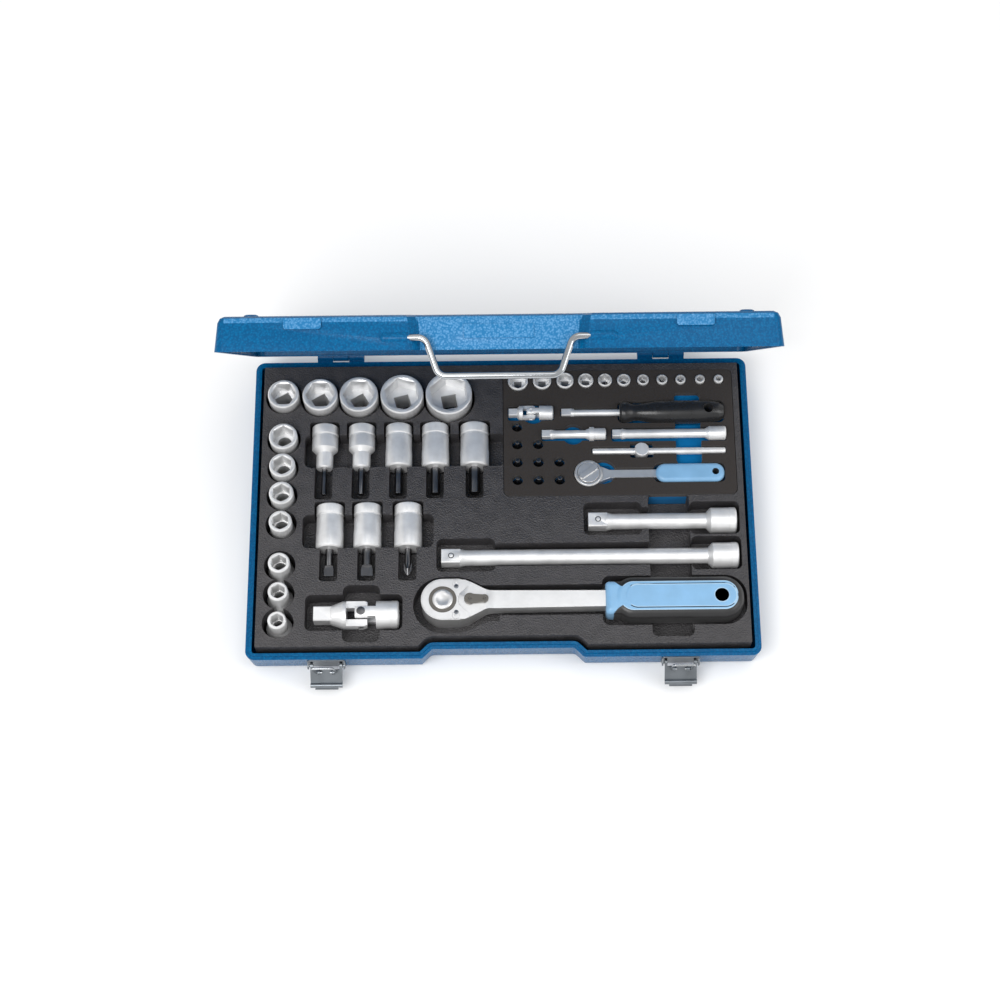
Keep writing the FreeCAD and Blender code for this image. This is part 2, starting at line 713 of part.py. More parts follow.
def tool_wells():
    """Wells of the extensions, the universal joint and the ratchet."""
    wells = []
    end = EXT_END_R + SIDE + 2.6
    for length, x, y, radius in EXTENSIONS.values():
        floor = LYING_Z - EXT_END_R - SEAT
        stop = x + length + 2.5
        wells.append(long_well(x - 4.0, x + 45.0, y - end, y + end, floor + 3.0, 5.0))
        wells.append(long_well(x + 40.0, stop - 36.0, y - radius - 3.5, y + radius + 3.5, floor + 3.0, 2.0))
        wells.append(long_well(stop - 42.0, stop, y - end, y + end, floor, 5.0))
    wells.append(long_well(122.8, 157.4, -121.5, FOAM_Y[0] + 1, 18.0, 5.0))
    reach = UJ_R + SIDE + 2.8
    floor = LYING_Z - UJ_R - SEAT
    wells.append(long_well(UJ_X - UJ_DRIVE_L - 7.0, UJ_X + UJ_SOCKET_L + 3.2, UJ_Y - reach, UJ_Y + reach, floor, 5.0))
    wells.append(long_well(UJ_X - 15.5, UJ_X + 15.5, UJ_Y - 26.0, UJ_Y + 24.0, floor, 6.0))
    wells.append(("head", RAT_X, RAT_Y - HEAD_WELL_OUT, HEAD_ROOM, RAT_BOTTOM - SEAT))
    wells.append(round_well(RAT_X, RAT_Y, DRIVE, RAT_BOTTOM - DRIVE_L - SEAT))
    wells.append(long_well(RAT_X + RAT_SHOULDER, GRIP_X0 + 2, RAT_Y - SHANK_WELL_HALF, RAT_Y + SHANK_WELL_HALF,
                           RAT_BOTTOM - SEAT, 2.0))
    grip = GRIP_W / 2 + 2.4
    front = RAT_Y - grip - GRIP_WELL_OUT
    grip_floor = GRIP_Z - GRIP_H / 2 - SEAT
    wells.append(long_well(GRIP_X0 - 2.5, GRIP_X0 + 50.0, front, RAT_Y + grip, grip_floor, 6.0))
    wells.append(long_well(GRIP_X0 + 20.0, GRIP_X1 + 2.6, front, RAT_Y + grip, grip_floor, 18.0))
    return wells


def make_tray():
    """Formed plastic tray: top sheet, skirt and wells."""
    wells = socket_wells() + bit_socket_wells() + tool_wells()
    wells.append(long_well(FOAM_X[0] - 0.5, FOAM_X[1] + 0.5, FOAM_Y[0] - 0.5, FOAM_Y[1] + 0.3, FOAM_FLOOR, FOAM_R))
    top = case_prism(TRAY_INSET, TRAY_TOP - TRAY_WALL, TRAY_TOP)
    skirt = case_ring(TRAY_INSET, TRAY_INSET + TRAY_WALL, TRAY_FLOOR, TRAY_TOP)
    room = case_prism(TRAY_INSET, TRAY_FLOOR, TRAY_TOP)
    grown = [well_solid(well, TRAY_WALL, TRAY_TOP) for well in wells]
    body = top.fuse([skirt] + grown).common(room)
    tray = body.cut([well_solid(well, 0.0, TRAY_TOP + 5) for well in wells])
    node("tool_tray", tray.removeSplitter())


# ---------------------------------------------------------------- half-inch sockets
def hex_socket(size, diameter, drive_end, height, drive, depth):
    """Upright hexagon socket on z = 0, drive end down."""
    radius = diameter / 2
    foot = drive_end / 2
    waist = height * 0.42
    shoulder = height * 0.56
    body = turned_profile(((0, foot - 0.8), (0.8, foot), (waist - 1.2, foot), (waist - 0.6, foot - 0.5),
                           (waist, foot), (waist + 0.6, foot), (shoulder, radius), (height - 1.0, radius),
                           (height, radius - 0.9)), (0, 0, 0))
    recess = height * (0.42 if size >= 8 else 0.36)
    mouth = size / math.sqrt(3)
    cuts = [polygon_bar(6, size, (0, 0, height - recess), recess + 1)]
    cuts.append(Part.makeCone(mouth * 0.86, mouth * 1.03, 1.2, vec(0, 0, height - 1.0)))
    if size > 1.45 * drive:
        depth = height - recess + 0.5
    cuts.append(polygon_bar(4, drive + DRIVE_PLAY, (0, 0, -1), depth + 1))
    cuts.append(rod(min(size, drive) * 0.46, (0, 0, depth - 0.5), max(height - recess - depth + 1, 0.6)))
    return body.cut(cuts)


def make_sockets():
    """Twelve half-inch sockets, standing drive end down."""
    for size, od, drive_end, height, x, y, turn in SOCKETS:
        body = turned(hex_socket(size, od, drive_end, height, DRIVE, DRIVE_DEPTH), (0, 0, 0), "z", turn)
        node("socket_%d" % size, moved(body, x, y, socket_floor(height, size)))


# ---------------------------------------------------------------- bit sockets
def bit_blade(kind, width, length):
    """Driver blade along -Y from y = 0."""
    root = 4.0
    if kind == "hex":
        blade = polygon_bar(6, width, (0, -length, 0), length + root, "y")
        return blade.common(turned_profile(((-length, width * 0.5), (-length + 0.8, width * 0.6),
                                            (root, width * 0.6)), (0, 0, 0), "y"))
    shank = rod(width * 0.42, (0, -length * 0.62, 0), length * 0.62 + root, "y")
    if kind == "slot":
        points = ((-width * 0.38, -length * 0.55), (-width / 2, -length * 0.75), (-width / 2, -length),
                  (width / 2, -length), (width / 2, -length * 0.75), (width * 0.38, -length * 0.55))
        return join(shank, prism(points, [0] * 6, -0.7, 0.7))
    arms = [block(-width / 2, width / 2, -length, -length * 0.55, -0.7, 0.7),
            block(-0.7, 0.7, -length, -length * 0.55, -width / 2, width / 2)]
    point = turned_profile(((-length, width * 0.16), (-length * 0.78, width / 2), (-length * 0.5, width / 2)),
                           (0, 0, 0), "y")
    core = turned_profile(((-length, width * 0.12), (-length * 0.55, width * 0.42)), (0, 0, 0), "y")
    return join(shank, core, *[arm.common(point) for arm in arms])


def make_bit_sockets():
    """Eight bit sockets lying with their blades to the front."""
    for name, kind, width, radius, neck, x, y in BIT_SOCKETS:
        front = -BIT_BODY_L
        body = turned_profile(((front, neck - 1.2), (front + 1.2, neck), (front + 14.0, neck),
                               (front + 18.0, radius - 0.3), (-11.0, radius - 0.3), (-10.4, radius - 0.9),
                               (-9.0, radius - 0.9), (-8.4, radius), (-1.0, radius), (0, radius - 1.0)),
                              (0, 0, 0), "y")
        blade = moved(bit_blade(kind, width, BIT_BLADE_L), y=front)
        body = body.cut(polygon_bar(4, DRIVE + DRIVE_PLAY, (0, -DRIVE_DEPTH, 0), DRIVE_DEPTH + 1, "y"))
        body = body.cut(blade)
        node("bit_socket_" + name, moved(body, x, y, LYING_Z), moved(blade, x, y, LYING_Z))


# ---------------------------------------------------------------- half-inch bars
def extension_bar(length, shaft, end_r, end_l, square, square_l, depth):
    """Extension along +X from x = 0: square drive first, socket end last."""
    neck = square_l + 3.0
    body = turned_profile(((square_l, square * 0.58), (square_l + 1.5, shaft + 0.8), (neck + 2.0, shaft),
                           (length - end_l - 4.0, shaft), (length - end_l, end_r),
                           (length - 1.0, end_r), (length, end_r - 1.0)), (0, 0, 0), "x")
    body = join(body, square_bar(square, (0, 0, 0), square_l + 1.0, "x"))
    return body.cut(polygon_bar(4, square + DRIVE_PLAY, (length - depth, 0, 0), depth + 1, "x"))


def make_extensions():
    """The long and the short half-inch extension."""
    for name, (length, x, y, shaft) in EXTENSIONS.items():
        bar = extension_bar(length, shaft, EXT_END_R, EXT_END_L, DRIVE, EXT_SQUARE_L, DRIVE_DEPTH)
        node(name, moved(bar, x, y, LYING_Z))


# ---------------------------------------------------------------- universal joints
def fork(radius, cross, pin, across):
    """Two fork arms round a cross at the origin, with their base to +X; pin along across."""
    reach = pin + 2.2
    base = radius + 0.8
    space = cross / 2 + FORK_GAP
    arm = cross / 2 - ARM_EASE
    body = rod(radius, (-reach, 0, 0), reach + base + 3.0, "x")
    wide = (-radius - 1, radius + 1)
    ys, zs = ((-space, space), wide) if across == "y" else (wide, (-space, space))
    body = body.cut(block(-reach - 1, base, ys[0], ys[1], zs[0], zs[1]))
    ys, zs = (wide, (-arm, arm)) if across == "y" else ((-arm, arm), wide)
    keep = join(block(-reach - 1, base + 1, ys[0], ys[1], zs[0], zs[1]),
                rod(radius + 1, (base, 0, 0), 4.0, "x"))
    tips = join(Part.makeSphere(radius + 0.2), block(0, base + 4, *wide, *wide))
    hole = (0, -radius - 1, 0) if across == "y" else (0, 0, -radius - 1)
    return body.common(keep).common(tips).cut(rod(pin + RUN, hole, 2 * radius + 2, across))


def joint_cross(radius, cross, pin):
    """Cross block with one pin along Y and one along Z."""
    half = cross / 2
    reach = radius - 0.6
    return join(block(-half, half, -half, half, -half, half),
                rod(pin, (0, -reach, 0), 2 * reach, "y"), rod(pin, (0, 0, -reach), 2 * reach, "z"))


def joint_yokes(radius, cross, pin, socket_l, drive_l, square, square_l, depth):
    """Socket yoke to +X (pin along Z) and drive yoke to -X (pin along Y)."""
    base = radius + 0.8
    stem = turned_profile(((base, radius), (socket_l - 1.0, radius), (socket_l, radius - 1.0)), (0, 0, 0), "x")
    socket = join(fork(radius, cross, pin, "z"), stem)
    socket = socket.cut(polygon_bar(4, square + DRIVE_PLAY, (socket_l - depth, 0, 0), depth + 1, "x"))
    shank = turned_profile(((base, radius), (base + 3.0, radius), (drive_l - square_l, square * 0.62)),
                           (0, 0, 0), "x")
    bar = square_bar(square, (drive_l - square_l - 1, 0, 0), square_l + 1, "x")
    drive = join(fork(radius, cross, pin, "y"), shank, bar)
    return socket, turned(drive, (0, 0, 0), "z", 180)


def make_joint():
    """Half-inch universal joint."""
    socket, drive = joint_yokes(UJ_R, UJ_CROSS, UJ_PIN_R, UJ_SOCKET_L, UJ_DRIVE_L, DRIVE, UJ_SQUARE_L,
                                DRIVE_DEPTH)
    place = (UJ_X, UJ_Y, LYING_Z)
    node("joint_socket_yoke", moved(socket, *place))
    node("joint_cross", moved(joint_cross(UJ_R, UJ_CROSS, UJ_PIN_R), *place))
    node("joint_drive_yoke", moved(drive, *place))


# ---------------------------------------------------------------- half-inch ratchet
def ratchet_plan(grow=0.0):
    """Plan of the head and neck, up to the shank."""
    side = RAT_R + grow
    shoulder = RAT_SHOULDER_HALF + grow
    shank = SHANK_HALF_0 + grow
    points = ((-side, -side), (RAT_SHOULDER * 0.62, -side), (RAT_SHOULDER, -shoulder), (RAT_NECK - 6, -shank),
              (RAT_NECK + 4, -shank), (RAT_NECK + 4, shank), (RAT_NECK - 6, shank), (RAT_SHOULDER, shoulder),
              (RAT_SHOULDER * 0.62, side), (-side, side))
    radii = (side - 0.01, 5.0, 5.0, 12.0, 0, 0, 12.0, 5.0, 5.0, side - 0.01)
    return points, radii


def cover_plan(gap=0.0):
    """Plan of the cover plate: round behind, notched towards the shank."""
    side = RAT_R - 0.6 - gap
    tip = RAT_SHOULDER - gap
    points = ((-side, -side), (tip - 3.5, -side), (tip + 1.5, -side + 2.5), (tip - 9.0, -4.0), (tip - 9.0, 4.0),
              (tip + 1.5, side - 2.5), (tip - 3.5, side), (-side, side))
    radii = (side - 0.01, 2.0, 1.5, 5.0, 5.0, 1.5, 2.0, side - 0.01)
    return points, radii


def make_ratchet():
    """Half-inch ratchet lying with its drive square down."""
    place = (RAT_X, RAT_Y, 0)
    points, radii = ratchet_plan()
    head = prism(points, radii, RAT_BOTTOM, RAT_TOP)
    shank_end = GRIP_X0 - RAT_X + 50.0
    bar = ((RAT_NECK, -SHANK_HALF_0), (shank_end, -SHANK_HALF_1), (shank_end, SHANK_HALF_1), (RAT_NECK, SHANK_HALF_0))
    shank_low = GRIP_Z - SHANK_T / 2
    shank_high = GRIP_Z + SHANK_T / 2
    slope = ((RAT_SHOULDER - 4, RAT_BOTTOM - 1), (RAT_NECK, shank_low), (RAT_NECK + 5, shank_low),
             (RAT_NECK + 5, RAT_BOTTOM - 1))
    under = turned(prism(slope, [0] * 4, -RAT_R - 1, RAT_R + 1), (0, 0, 0), "x", 90)
    top_slope = ((RAT_NECK - 14, RAT_TOP + 1), (RAT_NECK, shank_high), (RAT_NECK + 5, shank_high),
                 (RAT_NECK + 5, RAT_TOP + 1))
    over = turned(prism(top_slope, [0] * 4, -RAT_R - 1, RAT_R + 1), (0, 0, 0), "x", 90)
    body = join(head.cut([under, over]), prism(bar, [0] * 4, shank_low, shank_high))
    cover, cover_radii = cover_plan()
    cavity_low = RAT_BOTTOM + 3.0
    cavity_high = RAT_TOP - COVER_T
    cuts = [prism(cover, cover_radii, cavity_high, RAT_TOP + 1),
            rod(GEAR_R + 0.5, (0, 0, cavity_low), cavity_high - cavity_low + 0.1),
            block(GEAR_R - 2, GEAR_R + 6.0, -PAWL_HALF - PAWL_ROOM, PAWL_HALF + PAWL_ROOM,
                  cavity_low, cavity_high - PAWL_COVER),
            rod(DRIVE * 0.72, (0, 0, RAT_BOTTOM - 1), 5),
            rod(REV_BIG_R * 0.5 + RUN, (LEVER_X, 0, cavity_low), RAT_TOP)]
    node("ratchet_body", moved(body.cut(cuts), *place))
    make_ratchet_cover(place, cavity_high)
    make_ratchet_works(place, cavity_low, cavity_high)
    make_ratchet_grip()


def make_ratchet_cover(place, cavity_high):
    """Cover plate with two screws."""
    plan, plan_radii = cover_plan(0.15)
    plate = prism(plan, plan_radii, cavity_high + 0.02, RAT_TOP)
    holes = [rod(RING_R + 0.2, (0, 0, cavity_high - 1), COVER_T + 2)]
    screws = []
    for side in (-1, 1):
        seat = (SCREW_X, side * SCREW_Y, cavity_high)
        holes.append(rod(SCREW_R + 0.1, seat, COVER_T + 1))
        screw = rod(SCREW_R, (SCREW_X, side * SCREW_Y, cavity_high + 0.02), COVER_T)
        screws.append(screw.cut(polygon_bar(6, 2.2, (SCREW_X, side * SCREW_Y, RAT_TOP - 1.0), 2)))
    node("ratchet_cover", moved(plate.cut(holes), *place), *[moved(s, *place) for s in screws])


def gear_disc(radius, teeth, depth, z0, z1):
    """Spur wheel with pointed teeth."""
    points = []
    for i in range(2 * teeth):
        r = radius if i % 2 == 0 else radius - depth
        angle = math.pi * i / teeth
        points.append((r * math.cos(angle), r * math.sin(angle)))
    return prism(points, [0] * len(points), z0, z1)


def make_ratchet_works(place, cavity_low, cavity_high):
    """Toothed drive with its square, release button, pawl and reversing lever."""
    gear = gear_disc(GEAR_R, 36, 0.9, cavity_low + 0.2, cavity_high - 0.2)
    ring = rod(RING_R, (0, 0, cavity_high - 0.3), COVER_T + 0.3)
    boss = rod(DRIVE * 0.72 - RUN, (0, 0, RAT_BOTTOM), 3.4)
    square = square_bar(DRIVE, (0, 0, RAT_BOTTOM - DRIVE_L), DRIVE_L + 0.2)
    button_floor = RAT_TOP - 9.0
    bore = rod(BUTTON_R + RUN, (0, 0, button_floor), 12.0)
    ball = Part.makeSphere(1.9, vec(DRIVE / 2 - 1.2, 0, RAT_BOTTOM - DRIVE_L * 0.62))
    drive = join(gear, ring, boss, square, ball).cut(bore)
    node("ratchet_drive", moved(drive, *place))
    low = button_floor + BUTTON_TRAVEL + 0.3
    top = RAT_TOP + BUTTON_UP
    button = turned_profile(((low, BUTTON_R), (top - 0.6, BUTTON_R), (top, BUTTON_R - 0.9)), (0, 0, 0))
    button = button.cut(Part.makeSphere(20.0, vec(0, 0, top + 20.0 - 0.8)))
    node("ratchet_button", moved(button, *place))
    pawl = block(GEAR_R - 0.4, GEAR_R + 5.8, -PAWL_HALF, PAWL_HALF, cavity_low + 0.3,
                 cavity_high - PAWL_COVER - 0.3)
    pawl = pawl.cut(rod(GEAR_R + 0.3, (0, 0, cavity_low), RAT_H))
    node("ratchet_pawl", moved(pawl, *place))
    tip = LEVER_X + REV_REACH
    low = RAT_TOP + 0.15
    top = low + REV_T
    plan = join(rod(REV_BIG_R, (LEVER_X, 0, low), REV_T), rod(REV_SMALL_R, (tip, 0, low), REV_T),
                prism(((LEVER_X, -REV_BIG_R * 0.86), (tip, -REV_SMALL_R * 0.9), (tip, REV_SMALL_R * 0.9),
                       (LEVER_X, REV_BIG_R * 0.86)), [0] * 4, low, top))
    stem = rod(REV_BIG_R * 0.5, (LEVER_X, 0, cavity_high - 9.0), RAT_TOP + 1.0 - cavity_high + 9.0)
    dimples = [rod(1.1, (x, 0, top - 0.75), 2) for x in (LEVER_X, tip)]
    node("ratchet_lever", moved(join(plan, stem).cut(dimples), *place))


def make_ratchet_grip():
    """Soft grip with its coloured inlay and hanging hole."""
    y = RAT_Y
    low = GRIP_Z - GRIP_H / 2
    high = GRIP_Z + GRIP_H / 2
    half = GRIP_W / 2
    body = slab(GRIP_X0 + 6.0, GRIP_X1, y - half, y + half, low, high, half - 1.0)
    body = rounded(body, 7.0, lambda e: at_height(low)(e) or at_height(high)(e))
    half_collar = GRIP_COLLAR_W / 2
    collar = slab(GRIP_X0, GRIP_X0 + GRIP_COLLAR_L + 6.0, y - half_collar, y + half_collar, low + 1.0, high - 1.0, 3.0)
    collar = rounded(collar, 5.0, lambda e: at_height(low + 1.0)(e) or at_height(high - 1.0)(e))
    inlay_half = INLAY_W / 2
    inlay = slab(GRIP_X0 + 17.0, GRIP_X1 - 6.5, y - inlay_half, y + inlay_half, high - INLAY_T, high + 0.2,
                 inlay_half - 0.5)
    hang = rod(HANG_R, (HANG_X, y, low - 1), GRIP_H + 3)
    core = block(GRIP_X0 - 1, GRIP_X0 + 51.0, y - SHANK_HALF_1 - 0.6, y + SHANK_HALF_1 + 0.6,
                 GRIP_Z - SHANK_T / 2 - 0.05, GRIP_Z + SHANK_T / 2 + 0.05)
    body = join(body, collar).cut([inlay, hang, core])
    node("ratchet_grip", body, inlay.cut(hang))


# ---------------------------------------------------------------- foam module
def foam_axis(radius):
    """Height of the axis of a round tool lying on the blue foam."""
    return FOAM_BASE_TOP + SEAT + radius


def quarter_bit_places():
    """Centres of the stepped block of bits."""
    places = []
    for row, count in enumerate(BIT_ROWS):
        places += [(BIT_X0 + BIT_PITCH * column, BIT_Y0 - BIT_ROW_PITCH * row) for column in range(count)]
    return places


def upright_holes():
    """Holes of the upright tools: place and radius."""
    holes = [(x, QUARTER_Y, od / 2 + FOAM_EASE) for _, od, x in QUARTER_SOCKETS]
    return holes + [(x, y, BIT_HOLE_R) for x, y in quarter_bit_places()]


def tee_head_room(low):
    """Room for the T-handle's head and its short travel."""
    across = TEE_HEAD_R + FOAM_EASE + 0.3
    along = TEE_HEAD_R + FOAM_EASE + 3.2
    return slab(TEE_HEAD_X - along, TEE_HEAD_X + along, TEE_Y - across, TEE_Y + across, low, FOAM_TOP + 1, 2.0)


def foam_pits():
    """Wells in the blue layer under the deeper tools."""
    deep = FOAM_FLOOR + SEAT + FOAM_SKIN
    head_low = FOAM_TOP + SR_PROUD - SR_H - SEAT
    middle = FOAM_TOP + SR_PROUD - SR_H / 2
    shank = SR_SHANK_HALF + 0.4 + FOAM_EASE
    grip = SR_GRIP_W / 2 + FOAM_EASE
    driver = DRIVER_R + FOAM_EASE
    pits = [rod(radius, (x, y, deep), FOAM_TOP) for x, y, radius in upright_holes()]
    pits.append(tee_head_room(deep))
    pits.append(slab(DRIVER_X[1] - 1.7, DRIVER_X[2] + 0.7, DRIVER_Y - driver, DRIVER_Y + driver,
                     DRIVER_Z - DRIVER_R - SEAT, FOAM_TOP, 5.0))
    pits.append(rod(SR_STEM_R + FOAM_EASE, (SR_X, SR_Y, deep), FOAM_TOP))
    pits.append(rod(SR_R + FOAM_EASE, (SR_X, SR_Y, head_low), FOAM_TOP))
    pits.append(slab(SR_X, SR_X + 19.0, SR_Y - 9.0, SR_Y + 9.0, middle - SR_SHANK_T / 2 - SEAT, FOAM_TOP, 3.0))
    pits.append(block(SR_X, SR_GRIP_X[0] + 1, SR_Y - shank, SR_Y + shank, middle - SR_SHANK_T / 2 - SEAT, FOAM_TOP))
    pits.append(slab(SR_GRIP_X[0] - 1.7, SR_GRIP_X[1] + 0.7, SR_Y - grip, SR_Y + grip,
                     middle - SR_GRIP_H / 2 - SEAT, FOAM_TOP, 5.0))
    return pits


def foam_cutouts():
    """Shapes cut right through the black foam."""
    low = FOAM_BASE_TOP - 1
    high = FOAM_TOP + 1

    def bay(x0, x1, y, half, corner=2.0):
        """Cut-out for a tool lying along X."""
        return slab(x0 - FOAM_EASE, x1 + FOAM_EASE, y - half - FOAM_EASE, y + half + FOAM_EASE, low, high, corner)

    cuts = [rod(radius, (x, y, low), high - low) for x, y, radius in upright_holes()]
    cuts.append(bay(SJ_X - SJ_DRIVE_L, SJ_X + SJ_SOCKET_L, SJ_Y, SJ_R))
    cuts.append(rod(10.0, (SJ_X + 2.0, SJ_Y, low), high - low))
    cuts.append(bay(DRIVER_X[0], DRIVER_X[1], DRIVER_Y, DRIVER_SHAFT_R + 0.4, 1.5))
    cuts.append(bay(DRIVER_X[1] - 1, DRIVER_X[2], DRIVER_Y, DRIVER_R, 5.0))
    cuts.append(bay(SHORT_X[0], SHORT_X[1], SHORT_Y, SMALL_END_R - 1.0))
    cuts.append(bay(COLLAR_X - 2.5, COLLAR_X + 2.5, SHORT_Y, SMALL_END_R))
    cuts.append(rod(9.5, (61.3, SHORT_Y, low), high - low))
    cuts.append(bay(LONG_X[0], LONG_X[1], LONG_Y, SMALL_END_R))
    cuts.append(bay(TEE_X[0], TEE_X[1], TEE_Y, TEE_R))
    cuts.append(tee_head_room(low))
    cuts.append(rod(SR_R + FOAM_EASE, (SR_X, SR_Y, low), high - low))
    cuts.append(bay(SR_X, SR_GRIP_X[0] + 1, SR_Y, SR_SHANK_HALF + 0.4))
    cuts.append(bay(SR_GRIP_X[0] - 1, SR_GRIP_X[1], SR_Y, SR_GRIP_W / 2, 5.0))
    cuts.append(rod(11.0, (86.0, SR_Y + 1.0, low), high - low))
    cuts.append(slab(148.5, 170.5, 33.0, 99.0, low, high, 3.0))
    return cuts


def make_foam():
    """Two-layer foam insert."""
    y0, y1 = FOAM_Y
    x0, x1 = FOAM_X
    base = slab(x0, x1, y0, y1, FOAM_FLOOR + SEAT, FOAM_BASE_TOP, FOAM_R)
    node("foam_base", base.cut(foam_pits()))
    top = slab(x0, x1, y0, y1, FOAM_BASE_TOP, FOAM_TOP, FOAM_R)
    node("foam_top", top.cut(foam_cutouts()))


def make_quarter_sockets():
    """Eleven quarter-inch sockets standing in the foam."""
    floor = FOAM_FLOOR + SEAT + FOAM_SKIN + SEAT
    solids = []
    for size, od, x in QUARTER_SOCKETS:
        drive_end = min(max(od * 0.88, 11.4), od + 2.4)
        drive_end = min(drive_end, od)
        body = hex_socket(size, od, drive_end, QUARTER_H, min(SMALL_DRIVE, od * 0.66), SMALL_DRIVE_DEPTH)
        solids.append(moved(body, x, QUARTER_Y, floor))
    node("quarter_sockets", *solids)


def make_quarter_bits():
    """Nine hexagon-shank bits standing tip up."""
    floor = FOAM_FLOOR + SEAT + FOAM_SKIN + SEAT
    solids = []
    for i, (x, y) in enumerate(quarter_bit_places()):
        shank = polygon_bar(6, BIT_AF, (x, y, floor), BIT_L * 0.6)
        groove = rod(4.0, (x, y, floor + 8.0), 2.2).cut(rod(2.9, (x, y, floor + 7.0), 4.0))
        tip_r = 1.5 + 0.16 * (i % 5)
        tip = turned_profile(((BIT_L * 0.6, 3.1), (BIT_L * 0.68, tip_r), (BIT_L - 0.4, tip_r),
                              (BIT_L, tip_r - 0.4)), (x, y, floor))
        solids.append(join(shank.cut(groove), tip))
    node("quarter_bits", *solids)


def make_driver():
    """Spinner handle with a quarter-inch square on its shaft."""
    x0, x1, x2 = DRIVER_X
    length = x2 - x1
    shape = ((0, 0.72), (0.02, 0.88), (0.06, 0.92), (0.09, 0.86), (0.13, 0.72), (0.17, 0.7), (0.25, 0.82),
             (0.36, 0.96), (0.46, 1.0), (0.74, 1.0), (0.86, 0.95), (0.95, 0.83), (1.0, 0.6))
    handle = turned_profile([(a * length, r * DRIVER_R) for a, r in shape], (x1, DRIVER_Y, DRIVER_Z), "x")
    hole = rod(DRIVER_HANG_R, (DRIVER_HANG_X, DRIVER_Y, 0), 60)
    tang = rod(DRIVER_SHAFT_R + 0.05, (x1 - 1, DRIVER_Y, DRIVER_Z), 31, "x")
    node("driver_handle", handle.cut([hole, tang]))
    shaft = rod(DRIVER_SHAFT_R, (x0 + 8, DRIVER_Y, DRIVER_Z), x1 - x0 + 20, "x")
    square = square_bar(SMALL_DRIVE, (x0, DRIVER_Y, DRIVER_Z), 9.0, "x")
    flange = rod(SMALL_DRIVE * 0.62, (x0 + 8.0, DRIVER_Y, DRIVER_Z), 3.0, "x")
    node("driver_shaft", join(shaft, square, flange))


def make_quarter_bars():
    """Short and long extension and the sliding T-handle."""
    short = extension_bar(SHORT_X[1] - SHORT_X[0], SMALL_SHAFT_R - 0.4, SMALL_END_R - 1.0, SMALL_END_L,
                          SMALL_DRIVE, SMALL_SQUARE_L, SMALL_DRIVE_DEPTH)
    axis = foam_axis(SMALL_END_R)
    short = join(moved(short, SHORT_X[0], SHORT_Y, axis),
                 rod(SMALL_END_R, (COLLAR_X - 2.0, SHORT_Y, axis), 4.0, "x"))
    hole = polygon_bar(4, SMALL_DRIVE + DRIVE_PLAY, (SHORT_X[1] - SMALL_DRIVE_DEPTH, SHORT_Y, axis), 12.0, "x")
    node("quarter_extension_short", short.cut(hole))
    long = extension_bar(LONG_X[1] - LONG_X[0], SMALL_SHAFT_R, SMALL_END_R, SMALL_END_L,
                         SMALL_DRIVE, SMALL_SQUARE_L, SMALL_DRIVE_DEPTH)
    node("quarter_extension_long", moved(long, LONG_X[0], LONG_Y, axis))
    z = foam_axis(TEE_R)
    bar = turned_profile(((0, TEE_R - 0.7), (0.8, TEE_R), (TEE_X[1] - TEE_X[0] - 0.8, TEE_R),
                          (TEE_X[1] - TEE_X[0], TEE_R - 0.7)), (TEE_X[0], TEE_Y, z), "x")
    node("tee_bar", bar)
    head = turned_profile(((-TEE_HEAD_L / 2, TEE_HEAD_R - 0.6), (-TEE_HEAD_L / 2 + 0.6, TEE_HEAD_R),
                           (TEE_HEAD_L / 2 - 0.6, TEE_HEAD_R), (TEE_HEAD_L / 2, TEE_HEAD_R - 0.6)),
                          (TEE_HEAD_X, TEE_Y, z))
    square = square_bar(SMALL_DRIVE, (TEE_HEAD_X, TEE_Y, z - TEE_HEAD_L / 2 - 4.0), 5.0)
    head = join(head, square).cut(rod(TEE_R + RUN, (TEE_X[0], TEE_Y, z), TEE_X[1] - TEE_X[0], "x"))
    node("tee_head", head)


def make_small_joint():
    """Quarter-inch universal joint."""
    socket, drive = joint_yokes(SJ_R, SJ_CROSS, SJ_PIN_R, SJ_SOCKET_L, SJ_DRIVE_L, SMALL_DRIVE, SJ_SQUARE_L,
                                SMALL_DRIVE_DEPTH)
    place = (SJ_X, SJ_Y, foam_axis(SJ_R))
    cross = joint_cross(SJ_R, SJ_CROSS, SJ_PIN_R)
    node("small_joint_socket", moved(socket, *place), moved(cross, *place))
    node("small_joint_drive", moved(drive, *place))


